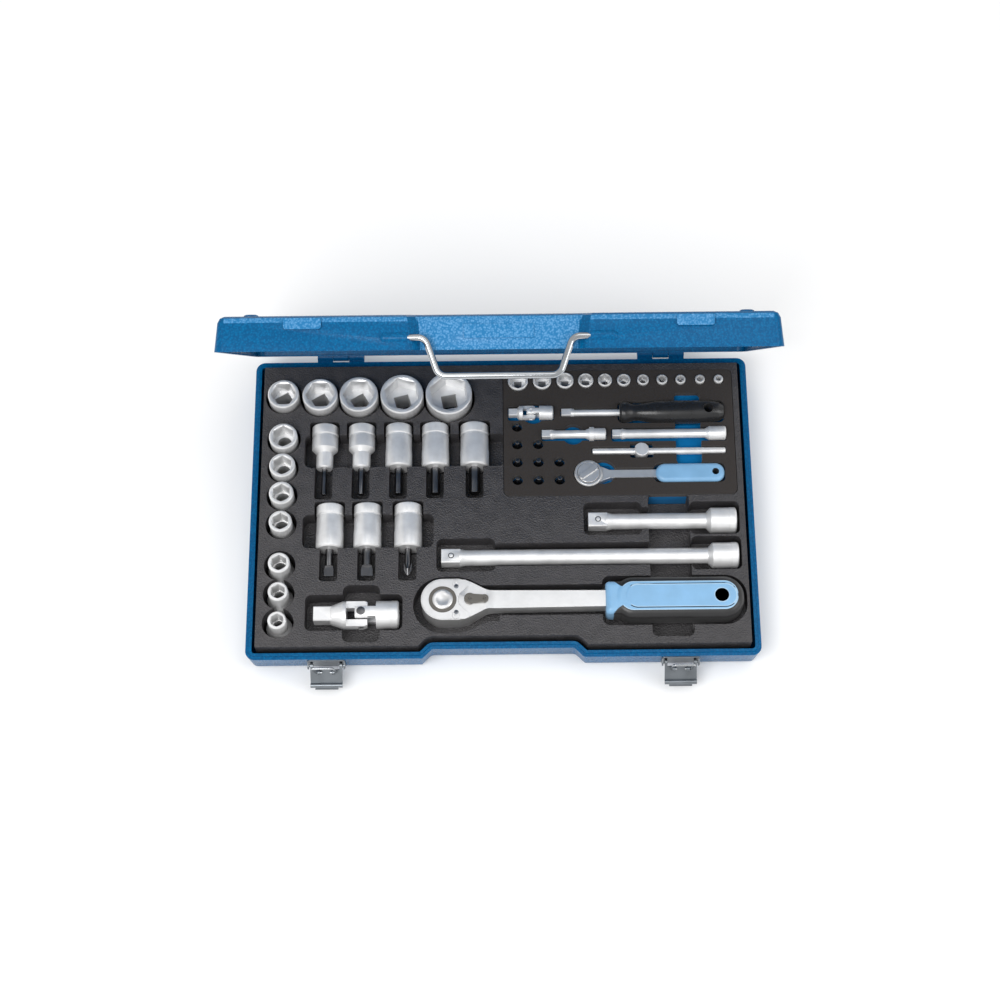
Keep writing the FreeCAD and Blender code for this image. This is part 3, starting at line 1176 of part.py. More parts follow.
def make_small_ratchet():
    """Quarter-inch ratchet with a turning dial on its head."""
    top = FOAM_TOP + SR_PROUD
    low = top - SR_H
    grip_z = top - SR_H / 2
    place = (SR_X, SR_Y, 0)
    head = turned_profile(((low, SR_R - 1.0), (low + 1.0, SR_R), (top - 1.0, SR_R), (top, SR_R - 1.0)), (0, 0, 0))
    half = SR_SHANK_HALF
    shank = prism(((8.0, -8.0), (18.0, -half), (SR_GRIP_X[0] - SR_X + 30, -half), (SR_GRIP_X[0] - SR_X + 30, half),
                   (18.0, half), (8.0, 8.0)), (0, 3, 0, 0, 3, 0), grip_z - SR_SHANK_T / 2, grip_z + SR_SHANK_T / 2)
    body = join(head, shank)
    body = body.cut([rod(SR_DIAL_R + 0.3, (0, 0, top - 2.0), 4), rod(SR_STEM_R + RUN, (0, 0, low - 1), SR_H + 2)])
    node("small_ratchet_body", moved(body, *place))
    dial = turned_profile(((top - 1.8, SR_DIAL_R), (top + 0.6, SR_DIAL_R), (top + 0.9, SR_DIAL_R - 0.3)), (0, 0, 0))
    bar = slab(-SR_DIAL_R + 0.4, SR_DIAL_R - 0.4, -2.2, 2.2, top + 0.6, top + SR_DIAL_T, 2.0)
    node("small_ratchet_dial", moved(turned(join(dial, bar), (0, 0, 0), "z", 35), *place))
    drive = join(rod(SR_STEM_R, (0, 0, low - 0.5), SR_H - 2.0), square_bar(SMALL_DRIVE, (0, 0, low - 8.0), 8.0))
    node("small_ratchet_drive", moved(drive, *place))
    width = SR_GRIP_W / 2
    g_low = grip_z - SR_GRIP_H / 2
    g_high = grip_z + SR_GRIP_H / 2
    grip = slab(SR_GRIP_X[0], SR_GRIP_X[1], SR_Y - width, SR_Y + width, g_low, g_high, width - 0.5)
    grip = rounded(grip, 3.5, lambda e: at_height(g_low)(e) or at_height(g_high)(e))
    core = block(SR_GRIP_X[0] - 1, SR_GRIP_X[0] + 31, SR_Y - half - 0.05, SR_Y + half + 0.05,
                 grip_z - SR_SHANK_T / 2 - 0.05, grip_z + SR_SHANK_T / 2 + 0.05)
    hole = rod(SR_HANG_R, (SR_HANG_X, SR_Y, g_low - 1), SR_GRIP_H + 2)
    node("small_ratchet_grip", grip.cut([core, hole]))


# ---------------------------------------------------------------- build and write
def main():
    """Build every piece and write one STEP file per node."""
    make_base_shell()
    make_lid_shell()
    make_hinges()
    make_handle()
    make_latches()
    make_tray()
    make_sockets()
    make_bit_sockets()
    make_extensions()
    make_joint()
    make_ratchet()
    make_foam()
    make_quarter_sockets()
    make_quarter_bits()
    make_driver()
    make_quarter_bars()
    make_small_joint()
    make_small_ratchet()
    os.makedirs("parts", exist_ok=True)
    for name, solids in NODES.items():
        shape = solids[0] if len(solids) == 1 else Part.makeCompound(solids)
        shape.exportStep("parts/%s.step" % name)
        valid = all(solid.isValid() for solid in solids)
        print("%-26s solids %2d  volume %10.1f  valid %s" % (name, len(solids), shape.Volume, valid))
    print(len(NODES), "nodes")


main()
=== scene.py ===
"""Looks of the socket wrench set in its steel case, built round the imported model.

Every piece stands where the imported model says, in metres, and rides on that model's body.
"""

import json
import logging
import math
from dataclasses import dataclass
from enum import Enum
from typing import Callable, Sequence

import bmesh
import bpy
from mathutils import Matrix, Vector
from mathutils.bvhtree import BVHTree

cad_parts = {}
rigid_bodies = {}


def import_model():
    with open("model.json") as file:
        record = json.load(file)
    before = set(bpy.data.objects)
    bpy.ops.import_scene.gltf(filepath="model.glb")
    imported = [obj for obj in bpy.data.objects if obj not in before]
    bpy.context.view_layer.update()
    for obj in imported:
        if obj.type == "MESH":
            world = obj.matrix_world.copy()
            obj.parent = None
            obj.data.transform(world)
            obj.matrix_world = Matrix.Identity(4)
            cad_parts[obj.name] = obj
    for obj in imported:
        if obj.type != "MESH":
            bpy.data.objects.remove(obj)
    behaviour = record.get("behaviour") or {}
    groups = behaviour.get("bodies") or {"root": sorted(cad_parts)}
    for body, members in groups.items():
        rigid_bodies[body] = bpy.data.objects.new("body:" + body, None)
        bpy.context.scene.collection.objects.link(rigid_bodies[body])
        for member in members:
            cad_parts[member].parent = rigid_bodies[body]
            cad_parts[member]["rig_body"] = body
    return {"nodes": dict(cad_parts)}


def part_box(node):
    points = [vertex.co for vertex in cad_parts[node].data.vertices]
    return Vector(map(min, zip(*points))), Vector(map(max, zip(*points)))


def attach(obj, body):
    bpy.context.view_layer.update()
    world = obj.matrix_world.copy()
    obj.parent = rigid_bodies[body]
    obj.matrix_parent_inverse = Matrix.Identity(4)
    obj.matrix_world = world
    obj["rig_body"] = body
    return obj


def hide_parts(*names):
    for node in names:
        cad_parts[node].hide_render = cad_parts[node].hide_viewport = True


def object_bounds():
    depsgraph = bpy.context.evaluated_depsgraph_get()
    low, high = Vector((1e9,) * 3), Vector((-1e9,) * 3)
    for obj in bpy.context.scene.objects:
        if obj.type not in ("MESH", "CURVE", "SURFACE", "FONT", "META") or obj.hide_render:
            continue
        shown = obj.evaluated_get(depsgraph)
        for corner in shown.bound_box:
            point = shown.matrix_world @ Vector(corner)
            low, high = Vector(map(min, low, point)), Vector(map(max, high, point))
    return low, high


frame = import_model()
CAD_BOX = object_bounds()
DOWN = Vector((0.0, 0.0, -1.0))

MM = 0.001
SHARP_ANGLE = math.radians(28.0)
MERGE_DISTANCE = 0.002 * MM
LOOK = "look_"             # start of every finish's name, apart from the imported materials' names
EASED_SHARE = 0.25         # eased edge of a small ring or disc, as a share of its thickness
RING_STEPS = 64
DISC_STEPS = 40
LEVEL = 1e-7               # two heights this near are one, in metres
ABOVE_ALL = 1.0            # where rays that look for a surface start, in metres
LOG = logging.getLogger("socket_wrench_set")

Colour = tuple[float, float, float]
Place = tuple[float, float, float]
Socket = bpy.types.NodeSocket
FaceTest = Callable[[bmesh.types.BMFace], bool]


# ---------------------------------------------------------------- finishes
class Slot(Enum):
    """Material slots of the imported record."""

    CASE = "case_paint"
    HINGE = "hinge_paint"
    WIRE = "wire_chrome"
    ZINC = "zinc"
    TRAY = "tray_plastic"
    FOAM_BLACK = "foam_black"
    FOAM_BLUE = "foam_blue"
    SATIN = "satin_chrome"
    BRIGHT = "bright_chrome"
    BIT = "bit_steel"
    DARK = "dark_steel"
    GRIP = "grip_rubber"
    DRIVER = "driver_plastic"


class Recipe:
    """Node tree of one finish, built socket by socket on object coordinates."""

    def __init__(self, name: str) -> None:
        """Start a material with its shader and coordinates.

        Args:
            name: Name of the new material.
        """
        self.material = bpy.data.materials.new(LOOK + name)
        self.material.use_nodes = True
        self.nodes = self.material.node_tree.nodes
        self.links = self.material.node_tree.links
        self.shader = self.nodes["Principled BSDF"]
        self.place = self.nodes.new("ShaderNodeTexCoord").outputs["Object"]

    def set(self, **values: float | Colour) -> None:
        """Set constants on the shader's own sockets, named with underscores for spaces."""
        for key, value in values.items():
            socket = self.shader.inputs[key.replace("_", " ")]
            socket.default_value = (*value, 1.0) if isinstance(value, tuple) else value

    def feed(self, name: str, source: Socket) -> None:
        """Link a source to one of the shader's sockets."""
        self.links.new(source, self.shader.inputs[name])

    def noise(self, grain_mm: float, detail: float = 3.0) -> Socket:
        """Cloudy pattern.

        Args:
            grain_mm: Size of the largest clouds.
            detail: How many finer layers it has.

        Returns:
            A value from 0 to 1.
        """
        node = self.nodes.new("ShaderNodeTexNoise")
        node.inputs["Scale"].default_value = 1.0 / (grain_mm * MM)
        node.inputs["Detail"].default_value = detail
        self.links.new(self.place, node.inputs["Vector"])
        return node.outputs["Fac"]

    def cells(self, size_mm: float, feature: str = "SMOOTH_F1", smooth: float = 0.6) -> Socket:
        """Cell pattern, as of hammered paint, leather grain or foam pores.

        Args:
            size_mm: Size of a cell.
            feature: Which distance the pattern gives.
            smooth: How softly neighbouring cells run together.

        Returns:
            The distance value.
        """
        node = self.nodes.new("ShaderNodeTexVoronoi")
        node.feature = feature
        node.inputs["Scale"].default_value = 1.0 / (size_mm * MM)
        if feature == "SMOOTH_F1":
            node.inputs["Smoothness"].default_value = smooth
        self.links.new(self.place, node.inputs["Vector"])
        return node.outputs["Distance"]

    def ramp(self, value: Socket, stops: Sequence[tuple[float, Colour | float]]) -> Socket:
        """Map a value onto colours or greys.

        Args:
            value: Value from 0 to 1.
            stops: Positions with a colour or a grey each.

        Returns:
            The colour socket.
        """
        node = self.nodes.new("ShaderNodeValToRGB")
        bar = node.color_ramp.elements
        while len(bar) < len(stops):
            bar.new(0.5)
        for element, (position, colour) in zip(bar, stops):
            element.position = position
            shade = colour if isinstance(colour, tuple) else (colour,) * 3
            element.color = (*shade, 1.0)
        self.links.new(value, node.inputs["Fac"])
        return node.outputs["Color"]

    def add(self, first: Socket, second: Socket, share: float) -> Socket:
        """First value plus a share of the second.

        Args:
            first: Main value.
            second: Value that is added.
            share: What the second is multiplied by.

        Returns:
            The sum.
        """
        node = self.nodes.new("ShaderNodeMath")
        node.operation = "MULTIPLY_ADD"
        node.inputs[1].default_value = share
        self.links.new(second, node.inputs[0])
        self.links.new(first, node.inputs[2])
        return node.outputs[0]

    def relief(self, height: Socket, depth_mm: float, strength: float = 1.0) -> None:
        """Raise the surface by a height pattern.

        Args:
            height: Value from 0 to 1.
            depth_mm: Depth of the relief at 1.
            strength: How strongly the relief turns the normals.
        """
        node = self.nodes.new("ShaderNodeBump")
        node.inputs["Strength"].default_value = strength
        node.inputs["Distance"].default_value = depth_mm * MM
        self.links.new(height, node.inputs["Height"])
        self.feed("Normal", node.outputs["Normal"])


@dataclass(frozen=True)
class HammeredEnamel:
    """Baked hammer-finish enamel: pebbled relief under a thin clear coat."""

    name: str = "hammered_enamel"
    deep: Colour = (0.000, 0.078, 0.205)
    light: Colour = (0.001, 0.138, 0.325)
    pebble_mm: float = 1.5
    depth_mm: float = 0.10
    gloss: float = 0.12

    def make(self) -> bpy.types.Material:
        """Build the material.

        Returns:
            The new material.
        """
        recipe = Recipe(self.name)
        pebbles = recipe.cells(self.pebble_mm, smooth=0.75)
        clouds = recipe.noise(self.pebble_mm * 2.5, 4.0)
        height = recipe.add(pebbles, clouds, 0.5)
        # Colour follows the pebble pattern, paler where it is low: partly the enamel's own mottle, partly
        # painted highlight on the pebbles.
        recipe.feed("Base Color", recipe.ramp(height, ((0.25, self.light), (0.85, self.deep))))
        recipe.feed("Roughness", recipe.ramp(clouds, ((0.3, 0.22), (0.7, 0.36))))
        recipe.set(Specular_IOR_Level=self.gloss, Coat_Weight=0.05, Coat_Roughness=0.10)
        recipe.relief(height, self.depth_mm, 0.6)
        return recipe.material


@dataclass(frozen=True)
class PlatedSteel:
    """Plated or bare steel, from satin to mirror bright."""

    name: str
    shade: Colour
    roughness: float
    grain_mm: float = 0.5
    depth_mm: float = 0.006
    worn: float = 0.06
    metal: float = 1.0
    handled_mm: float = 11.0
    darker: float = 0.86

    def make(self) -> bpy.types.Material:
        """Build the material.

        Returns:
            The new material.
        """
        recipe = Recipe(self.name)
        grain = recipe.noise(self.grain_mm, 5.0)
        handled = recipe.noise(self.handled_mm, 3.0)
        darker = tuple(channel * self.darker for channel in self.shade)
        recipe.feed("Base Color", recipe.ramp(handled, ((0.30, darker), (0.65, self.shade))))
        low, high = self.roughness - self.worn / 2, self.roughness + self.worn
        recipe.feed("Roughness", recipe.ramp(recipe.add(handled, grain, 0.4), ((0.45, low), (0.95, high))))
        recipe.set(Metallic=self.metal)
        recipe.relief(grain, self.depth_mm, 0.35)
        return recipe.material


@dataclass(frozen=True)
class FormedPlastic:
    """Vacuum-formed or moulded plastic with a leather-like grain."""

    name: str
    shade: Colour
    roughness: float = 0.42
    grain_mm: float = 0.55
    depth_mm: float = 0.05
    gloss: float = 0.5
    cloud_mm: float = 9.0
    paler: float = 1.35
    lift: float = 0.002

    def make(self) -> bpy.types.Material:
        """Build the material.

        Returns:
            The new material.
        """
        recipe = Recipe(self.name)
        creases = recipe.cells(self.grain_mm, smooth=0.35)
        grain = recipe.add(creases, recipe.noise(self.grain_mm * 1.3, 3.0), 0.8)
        clouds = recipe.noise(self.cloud_mm, 4.0)
        paler = tuple(channel * self.paler + self.lift for channel in self.shade)
        recipe.feed("Base Color", recipe.ramp(clouds, ((0.30, self.shade), (0.75, paler))))
        low, high = self.roughness - 0.06, self.roughness + 0.10
        recipe.feed("Roughness", recipe.ramp(clouds, ((0.3, low), (0.7, high))))
        recipe.set(Specular_IOR_Level=self.gloss)
        recipe.relief(recipe.add(grain, clouds, 0.3), self.depth_mm, 0.8)
        return recipe.material


@dataclass(frozen=True)
class CutFoam:
    """Closed-cell foam with open pores on its cut faces."""

    name: str
    shade: Colour
    pore: Colour
    pore_mm: float = 0.9
    sheen: float = 0.12

    def make(self) -> bpy.types.Material:
        """Build the material.

        Returns:
            The new material.
        """
        recipe = Recipe(self.name)
        pores = recipe.cells(self.pore_mm, "F1")
        specks = recipe.noise(self.pore_mm * 0.8, 6.0)
        mixed = recipe.add(pores, specks, 0.7)
        recipe.feed("Base Color", recipe.ramp(mixed, ((0.35, self.pore), (0.62, self.shade))))
        recipe.set(Roughness=0.93, Specular_IOR_Level=0.15, Sheen_Weight=self.sheen, Sheen_Roughness=0.6)
        recipe.relief(mixed, 0.25, 0.5)
        return recipe.material


@dataclass(frozen=True)
class SoftGrip:
    """Two-component grip rubber with a silky moulded skin."""

    name: str
    shade: Colour
    roughness: float = 0.40
    skin_mm: float = 0.35
    handled_mm: float = 14.0
    darker: float = 0.88

    def make(self) -> bpy.types.Material:
        """Build the material.

        Returns:
            The new material.
        """
        recipe = Recipe(self.name)
        skin = recipe.noise(self.skin_mm, 4.0)
        handled = recipe.noise(self.handled_mm, 3.0)
        darker = tuple(channel * self.darker for channel in self.shade)
        recipe.feed("Base Color", recipe.ramp(handled, ((0.3, darker), (0.7, self.shade))))
        low, high = self.roughness - 0.06, self.roughness + 0.10
        recipe.feed("Roughness", recipe.ramp(recipe.add(handled, skin, 0.3), ((0.4, low), (0.9, high))))
        recipe.set(Specular_IOR_Level=0.5, Sheen_Weight=0.08)
        recipe.relief(skin, 0.02, 0.4)
        return recipe.material


class Paint(Enum):
    """Finishes of the set, one for each kind of surface."""

    ENAMEL = HammeredEnamel()
    # Paler copy of the enamel: painted highlight on the lid's recess floor, badge and strike pads.
    SHEEN = HammeredEnamel("enamel_painted_highlight", (0.020, 0.165, 0.370), (0.125, 0.330, 0.590), 1.5, 0.14)
    # Darker copy of the enamel for the hinges: painted shade of the gap between lid and base.
    HINGE = HammeredEnamel("hinge_enamel_painted_shade", (0.001, 0.060, 0.170), (0.002, 0.105, 0.270), 1.3, 0.06)
    WIRE = PlatedSteel("chromed_wire", (0.46, 0.48, 0.50), 0.12, worn=0.04)
    ZINC = PlatedSteel("zinc_plate", (0.22, 0.24, 0.26), 0.34, grain_mm=1.4, depth_mm=0.012)
    SATIN = PlatedSteel("satin_chrome", (0.88, 0.88, 0.88), 0.38, grain_mm=0.30, depth_mm=0.008, metal=0.52)
    BRIGHT = PlatedSteel("bright_chrome", (0.74, 0.74, 0.74), 0.30, worn=0.05, metal=0.66)
    BIT = PlatedSteel("bit_steel", (0.16, 0.16, 0.165), 0.34, grain_mm=0.4)
    DARK = PlatedSteel("browned_steel", (0.17, 0.16, 0.145), 0.34, grain_mm=0.4)
    TRAY = FormedPlastic("tray_plastic", (0.038, 0.036, 0.038), 0.40, grain_mm=1.2, depth_mm=0.55)
    FOAM_BLACK = CutFoam("foam_black", (0.036, 0.031, 0.029), (0.010, 0.009, 0.008))
    FOAM_BLUE = CutFoam("foam_blue", (0.000, 0.140, 0.360), (0.000, 0.100, 0.270), sheen=0.03)
    GRIP_BLACK = SoftGrip("grip_black", (0.020, 0.020, 0.021), 0.36)
    GRIP_BLUE = SoftGrip("grip_blue", (0.230, 0.455, 0.700), 0.34)
    # Paler copy of the grip blue: painted highlight round the inlay's rim.
    GRIP_EDGE = SoftGrip("grip_edge_painted_highlight", (0.40, 0.60, 0.78), 0.34)
    DRIVER = SoftGrip("driver_plastic", (0.016, 0.016, 0.017), 0.28)

    def coat(self) -> bpy.types.Material:
        """The material of this finish, built once.

        Returns:
            The shared material.
        """
        known = bpy.data.materials.get(LOOK + self.value.name)
        return known or self.value.make()


# ---------------------------------------------------------------- mesh craft
def body_of(node: str) -> str:
    """Name of the body that a CAD node rides on."""
    return frame["nodes"][node]["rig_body"]


def smooth(mesh: bpy.types.Mesh, angle: float = SHARP_ANGLE) -> None:
    """Shade a mesh smooth, with edges over an angle kept sharp."""
    mesh.shade_smooth()
    mesh.set_sharp_from_angle(angle=angle)


def piece_from(name: str, bm: bmesh.types.BMesh, paints: Sequence[Paint]) -> bpy.types.Object:
    """Turn a finished bmesh into a named piece at the origin.

    Args:
        name: Name of the piece.
        bm: Finished shape, in metres; it is freed here.
        paints: Finishes, in the order of the faces' material indices.

    Returns:
        The new object.
    """
    mesh = bpy.data.meshes.new(name)
    bm.to_mesh(mesh)
    bm.free()
    for paint in paints:
        mesh.materials.append(paint.coat())
    smooth(mesh)
    piece = bpy.data.objects.new(name, mesh)
    bpy.context.scene.collection.objects.link(piece)
    return piece


def ease_edges(piece: bpy.types.Object, width_mm: float, segments: int = 2) -> None:
    """Round the sharp edges of a piece so that they catch the light.

    Args:
        piece: Piece to ease.
        width_mm: Width of the rounding.
        segments: Steps of the rounding.
    """
    ease = piece.modifiers.new("eased_edges", "BEVEL")
    ease.width = width_mm * MM
    ease.segments = segments
    ease.limit_method = "ANGLE"
    ease.angle_limit = math.radians(32.0)
    ease.profile = 0.5
    ease.use_clamp_overlap = True
    ease.harden_normals = True


def ride_on(piece: bpy.types.Object, node: str) -> bpy.types.Object:
    """Let a piece ride on a CAD node's body.

    Args:
        piece: Finished piece.
        node: CAD node whose body carries it.

    Returns:
        The same piece.
    """
    body = body_of(node)
    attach(piece, body)
    LOG.info("%-26s %6d faces on %s", piece.name, len(piece.data.polygons), body)
    return piece


def fit_out(piece: bpy.types.Object, node: str) -> bpy.types.Object:
    """Let a piece stand for a CAD node and ride on its body."""
    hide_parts(node)
    return ride_on(piece, node)


def merged_copy(node: str) -> bmesh.types.BMesh:
    """Copy of a CAD node's mesh with its doubles merged and its flat faces joined.

    Args:
        node: Name of the CAD node.

    Returns:
        The copy, as a bmesh.
    """
    bm = bmesh.new()
    bm.from_mesh(frame["nodes"][node].data)
    bmesh.ops.remove_doubles(bm, verts=bm.verts, dist=MERGE_DISTANCE)
    bmesh.ops.dissolve_limit(bm, angle_limit=math.radians(0.6), verts=bm.verts, edges=bm.edges)
    return bm


def dress(node: str, paint: Paint, ease_mm: float = 0.25, segments: int = 2,
          other: Paint | None = None, where: FaceTest | None = None) -> bpy.types.Object:
    """Make the finished piece of a CAD node: same shape, eased edges, its own finish.

    Args:
        node: Name of the CAD node.
        paint: Finish of the piece.
        ease_mm: Width of the eased edges.
        segments: Steps across an eased edge.
        other: Finish of the faces that a test picks.
        where: Test on a face, in metres.

    Returns:
        The new piece.
    """
    bm = merged_copy(node)
    if where:
        for face in bm.faces:
            face.material_index = int(where(face))
    piece = piece_from(node + "_finish", bm, (paint, other) if other else (paint,))
    if ease_mm:
        ease_edges(piece, ease_mm, segments)
    return fit_out(piece, node)


def box_of(node: str) -> tuple[Vector, Vector]:
    """Lower and upper corner of a CAD node."""
    low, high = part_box(node)
    return Vector(low), Vector(high)


def ring_band(name: str, axis: str, centre: Vector, radius_mm: float, width_mm: float, thick_mm: float,
              paint: Paint) -> bpy.types.Object:
    """Thin raised ring round a turned tool.

    Args:
        name: Name of the piece.
        axis: Axis of the tool, "X" or "Z".
        centre: Middle of the ring, in metres.
        radius_mm: Outer radius.
        width_mm: Width along the axis.
        thick_mm: Depth from the outer face to the inner one.
        paint: Finish.

    Returns:
        The ring, not yet riding on a body.
    """
    bm = bmesh.new()
    half = width_mm / 2
    ease = min(width_mm, thick_mm) * EASED_SHARE
    outer, inner = radius_mm, radius_mm - thick_mm
    profile = ((inner, -half), (outer - ease, -half), (outer, ease - half), (outer, half - ease),
               (outer - ease, half), (inner, half))
    points = [bm.verts.new((r * MM, 0.0, z * MM)) for r, z in profile]
    loop = [bm.edges.new((points[i], points[(i + 1) % len(points)])) for i in range(len(points))]
    bmesh.ops.spin(bm, geom=points + loop, cent=(0, 0, 0), axis=(0, 0, 1), angle=math.tau,
                   steps=RING_STEPS, use_merge=True)
    bmesh.ops.recalc_face_normals(bm, faces=bm.faces)
    turn = Matrix.Rotation(math.pi / 2, 4, "Y") if axis == "X" else Matrix.Identity(4)
    bmesh.ops.transform(bm, matrix=Matrix.Translation(centre) @ turn, verts=bm.verts)
    return piece_from(name, bm, (paint,))


def disc(name: str, centre: Vector, radius_mm: float, thick_mm: float, paint: Paint) -> bpy.types.Object:
    """Flat round head with eased edges, lying level.

    Args:
        name: Name of the piece.
        centre: Middle of the disc, in metres.
        radius_mm: Outer radius.
        thick_mm: Height.
        paint: Finish.

    Returns:
        The disc, not yet riding on a body.
    """
    bm = bmesh.new()
    bmesh.ops.create_cone(bm, cap_ends=True, segments=DISC_STEPS, radius1=radius_mm * MM,
                          radius2=radius_mm * MM, depth=thick_mm * MM)
    rims = [edge for edge in bm.edges if abs(edge.verts[0].co.z - edge.verts[1].co.z) < LEVEL]
    bmesh.ops.bevel(bm, geom=rims, offset=thick_mm * EASED_SHARE * MM, segments=2, profile=0.5,
                    affect="EDGES", material=-1)
    bmesh.ops.translate(bm, verts=bm.verts, vec=centre)
    return piece_from(name, bm, (paint,))


def top_of(node: str, x: float, y: float) -> float:
    """Height of a CAD node's upper surface at a place.

    Args:
        node: Name of the CAD node.
        x: Place along X, in metres.
        y: Place along Y, in metres.

    Returns:
        The height, or the top of the node's box if nothing is met.
    """
    bm = merged_copy(node)
    bmesh.ops.triangulate(bm, faces=bm.faces)
    hit = BVHTree.FromBMesh(bm).ray_cast(Vector((x, y, ABOVE_ALL)), DOWN)[0]
    bm.free()
    return hit.z if hit else box_of(node)[1].z


# ---------------------------------------------------------------- sub-assemblies
@dataclass
class SteelCase:
    """Pressed case: base, lid and hinges."""

    panel_ease_mm: float = 0.35
    hinge_ease_mm: float = 0.30
    recess_half: float = 0.066
    recess_drop: float = 0.004
    pad_span: tuple[float, float] = (0.118, 0.174)
    pad_area: float = 0.0011
    pad_above: float = 0.27
    facing_up: float = 0.8

    def build(self) -> None:
        """Dress the shells, leaves and pins."""
        dress("base_shell", Paint.ENAMEL, self.panel_ease_mm)
        # The lid's recess floor, badge and strike pads take the paler enamel, a painted highlight.
        dress("lid_shell", Paint.ENAMEL, self.panel_ease_mm, other=Paint.SHEEN,
              where=self.takes_painted_highlight)
        # Hinge leaves and pins take the darker enamel, painted shade.
        for node in ("hinge_base_leaves", "hinge_lid_leaves"):
            dress(node, Paint.HINGE, self.hinge_ease_mm)
        dress("hinge_pins", Paint.HINGE, self.hinge_ease_mm)

    def takes_painted_highlight(self, face: bmesh.types.BMFace) -> bool:
        """Whether a face of the lid's front wall is a recess floor or a strike pad.

        Args:
            face: Face of the lid, standing open.

        Returns:
            True for the faces that take the paler enamel, a painted highlight.
        """
        place = face.calc_center_median()
        if face.normal.z < self.facing_up:
            return False
        if abs(place.x) < self.recess_half:
            wall = box_of("lid_shell")[1].z
            return wall - 4 * self.recess_drop < place.z < wall - self.recess_drop
        inside = self.pad_span[0] < abs(place.x) < self.pad_span[1]
        return inside and face.calc_area() < self.pad_area and place.z > self.pad_above


@dataclass
class CaseFittings:
    """Carrying handle and draw latches."""

    plate_ease_mm: float = 0.22

    def build(self) -> None:
        """Dress the handle and both latches."""
        dress("carry_handle", Paint.WIRE, 0.4)
        dress("latch_plates", Paint.ZINC, self.plate_ease_mm)
        for side in ("left", "right"):
            dress("latch_lever_" + side, Paint.ZINC, self.plate_ease_mm)
            dress("latch_bail_" + side, Paint.WIRE, 0.1)


@dataclass
class ToolTray:
    """Formed tray that holds the half-inch tools."""

    lip_ease_mm: float = 0.9

    def build(self) -> None:
        """Dress the tray."""
        dress("tool_tray", Paint.TRAY, self.lip_ease_mm, 3)


@dataclass
class HalfInchTools:
    """Sockets, bit sockets, extensions and universal joint."""

    socket_sizes: tuple[int, ...] = (10, 11, 12, 13, 14, 15, 17, 19, 22, 24, 27, 30)
    bit_names: tuple[str, ...] = ("hex_4", "hex_5", "hex_6", "hex_7", "hex_8",
                                  "slot_8", "slot_10", "cross_3")
    body_mm: float = 39.0
    ring_w_mm: float = 5.0
    ring_from_end_mm: float = 3.6
    ring_out_mm: float = 0.22
    ring_sunk_mm: float = 0.4
    blade_gap: float = 0.0001
    catch_in_mm: float = 8.2
    catch_r_mm: float = 2.5
    catch_w_mm: float = 0.9
    catch_t_mm: float = 0.3
    ball_r_mm: float = 1.7
    ball_t_mm: float = 0.5
    pin_head_r_mm: float = 3.6
    pin_head_t_mm: float = 0.9
    pin_head_sunk_mm: float = 0.35

    def build(self) -> None:
        """Dress every half-inch tool apart from the ratchet."""
        for size in self.socket_sizes:
            dress("socket_%d" % size, Paint.SATIN)
        for name in self.bit_names:
            self.bit_socket("bit_socket_" + name)
        for name in ("extension_long", "extension_short", "joint_socket_yoke", "joint_drive_yoke"):
            dress(name, Paint.SATIN)
        for name in ("extension_long", "extension_short", "joint_socket_yoke"):
            self.end_ring(name)
        dress("joint_cross", Paint.BIT)
        self.detent_balls()
        self.pin_end()

    def detent_balls(self) -> None:
        """Dark ring, painted shade of the catch's hole, round the ball of the catch on the drive square of
        each bar.
        """
        for node in ("extension_long", "extension_short"):
            low, high = box_of(node)
            spot = Vector((low.x + self.catch_in_mm * MM, (low.y + high.y) / 2, 0.0))
            spot.z = top_of(node, spot.x, spot.y)
            # Dark ring round the ball: painted shade of the hole it sits in.
            hole_shade_ring = ring_band(node + "_catch_hole_shade", "Z", spot, self.catch_r_mm, self.catch_t_mm, self.catch_w_mm,
                             Paint.BIT)
            ride_on(hole_shade_ring, node)
            ball = disc(node + "_ball", spot, self.ball_r_mm, self.ball_t_mm, Paint.SATIN)
            ride_on(ball, node)

    def pin_end(self) -> None:
        """Dark head of the universal joint's upright pin."""
        low, high = box_of("joint_cross")
        yoke_top = box_of("joint_socket_yoke")[1].z
        middle = (low + high) / 2
        spot = Vector((middle.x, middle.y, yoke_top - self.pin_head_sunk_mm * MM))
        head = disc("joint_cross_head", spot, self.pin_head_r_mm, self.pin_head_t_mm, Paint.BIT)
        ride_on(head, "joint_cross")

    def bit_socket(self, node: str) -> None:
        """Dress a bit socket, its blade in darker steel.

        Args:
            node: Name of the CAD node.
        """
        root = box_of(node)[1].y - self.body_mm * MM
        dress(node, Paint.SATIN, other=Paint.BIT,
              where=lambda face: face.calc_center_median().y < root - self.blade_gap)

    def end_ring(self, node: str) -> None:
        """Raised ring at the mouth of a bar's socket end.

        Args:
            node: Name of the CAD node.
        """
        low, high = box_of(node)
        middle = (low + high) / 2
        radius = (high.z - low.z) / 2 / MM + self.ring_out_mm
        centre = Vector((high.x - self.ring_from_end_mm * MM, middle.y, middle.z))
        depth = self.ring_out_mm + self.ring_sunk_mm
        ring = ring_band(node + "_ring", "X", centre, radius, self.ring_w_mm, depth, Paint.SATIN)
        ride_on(ring, node)


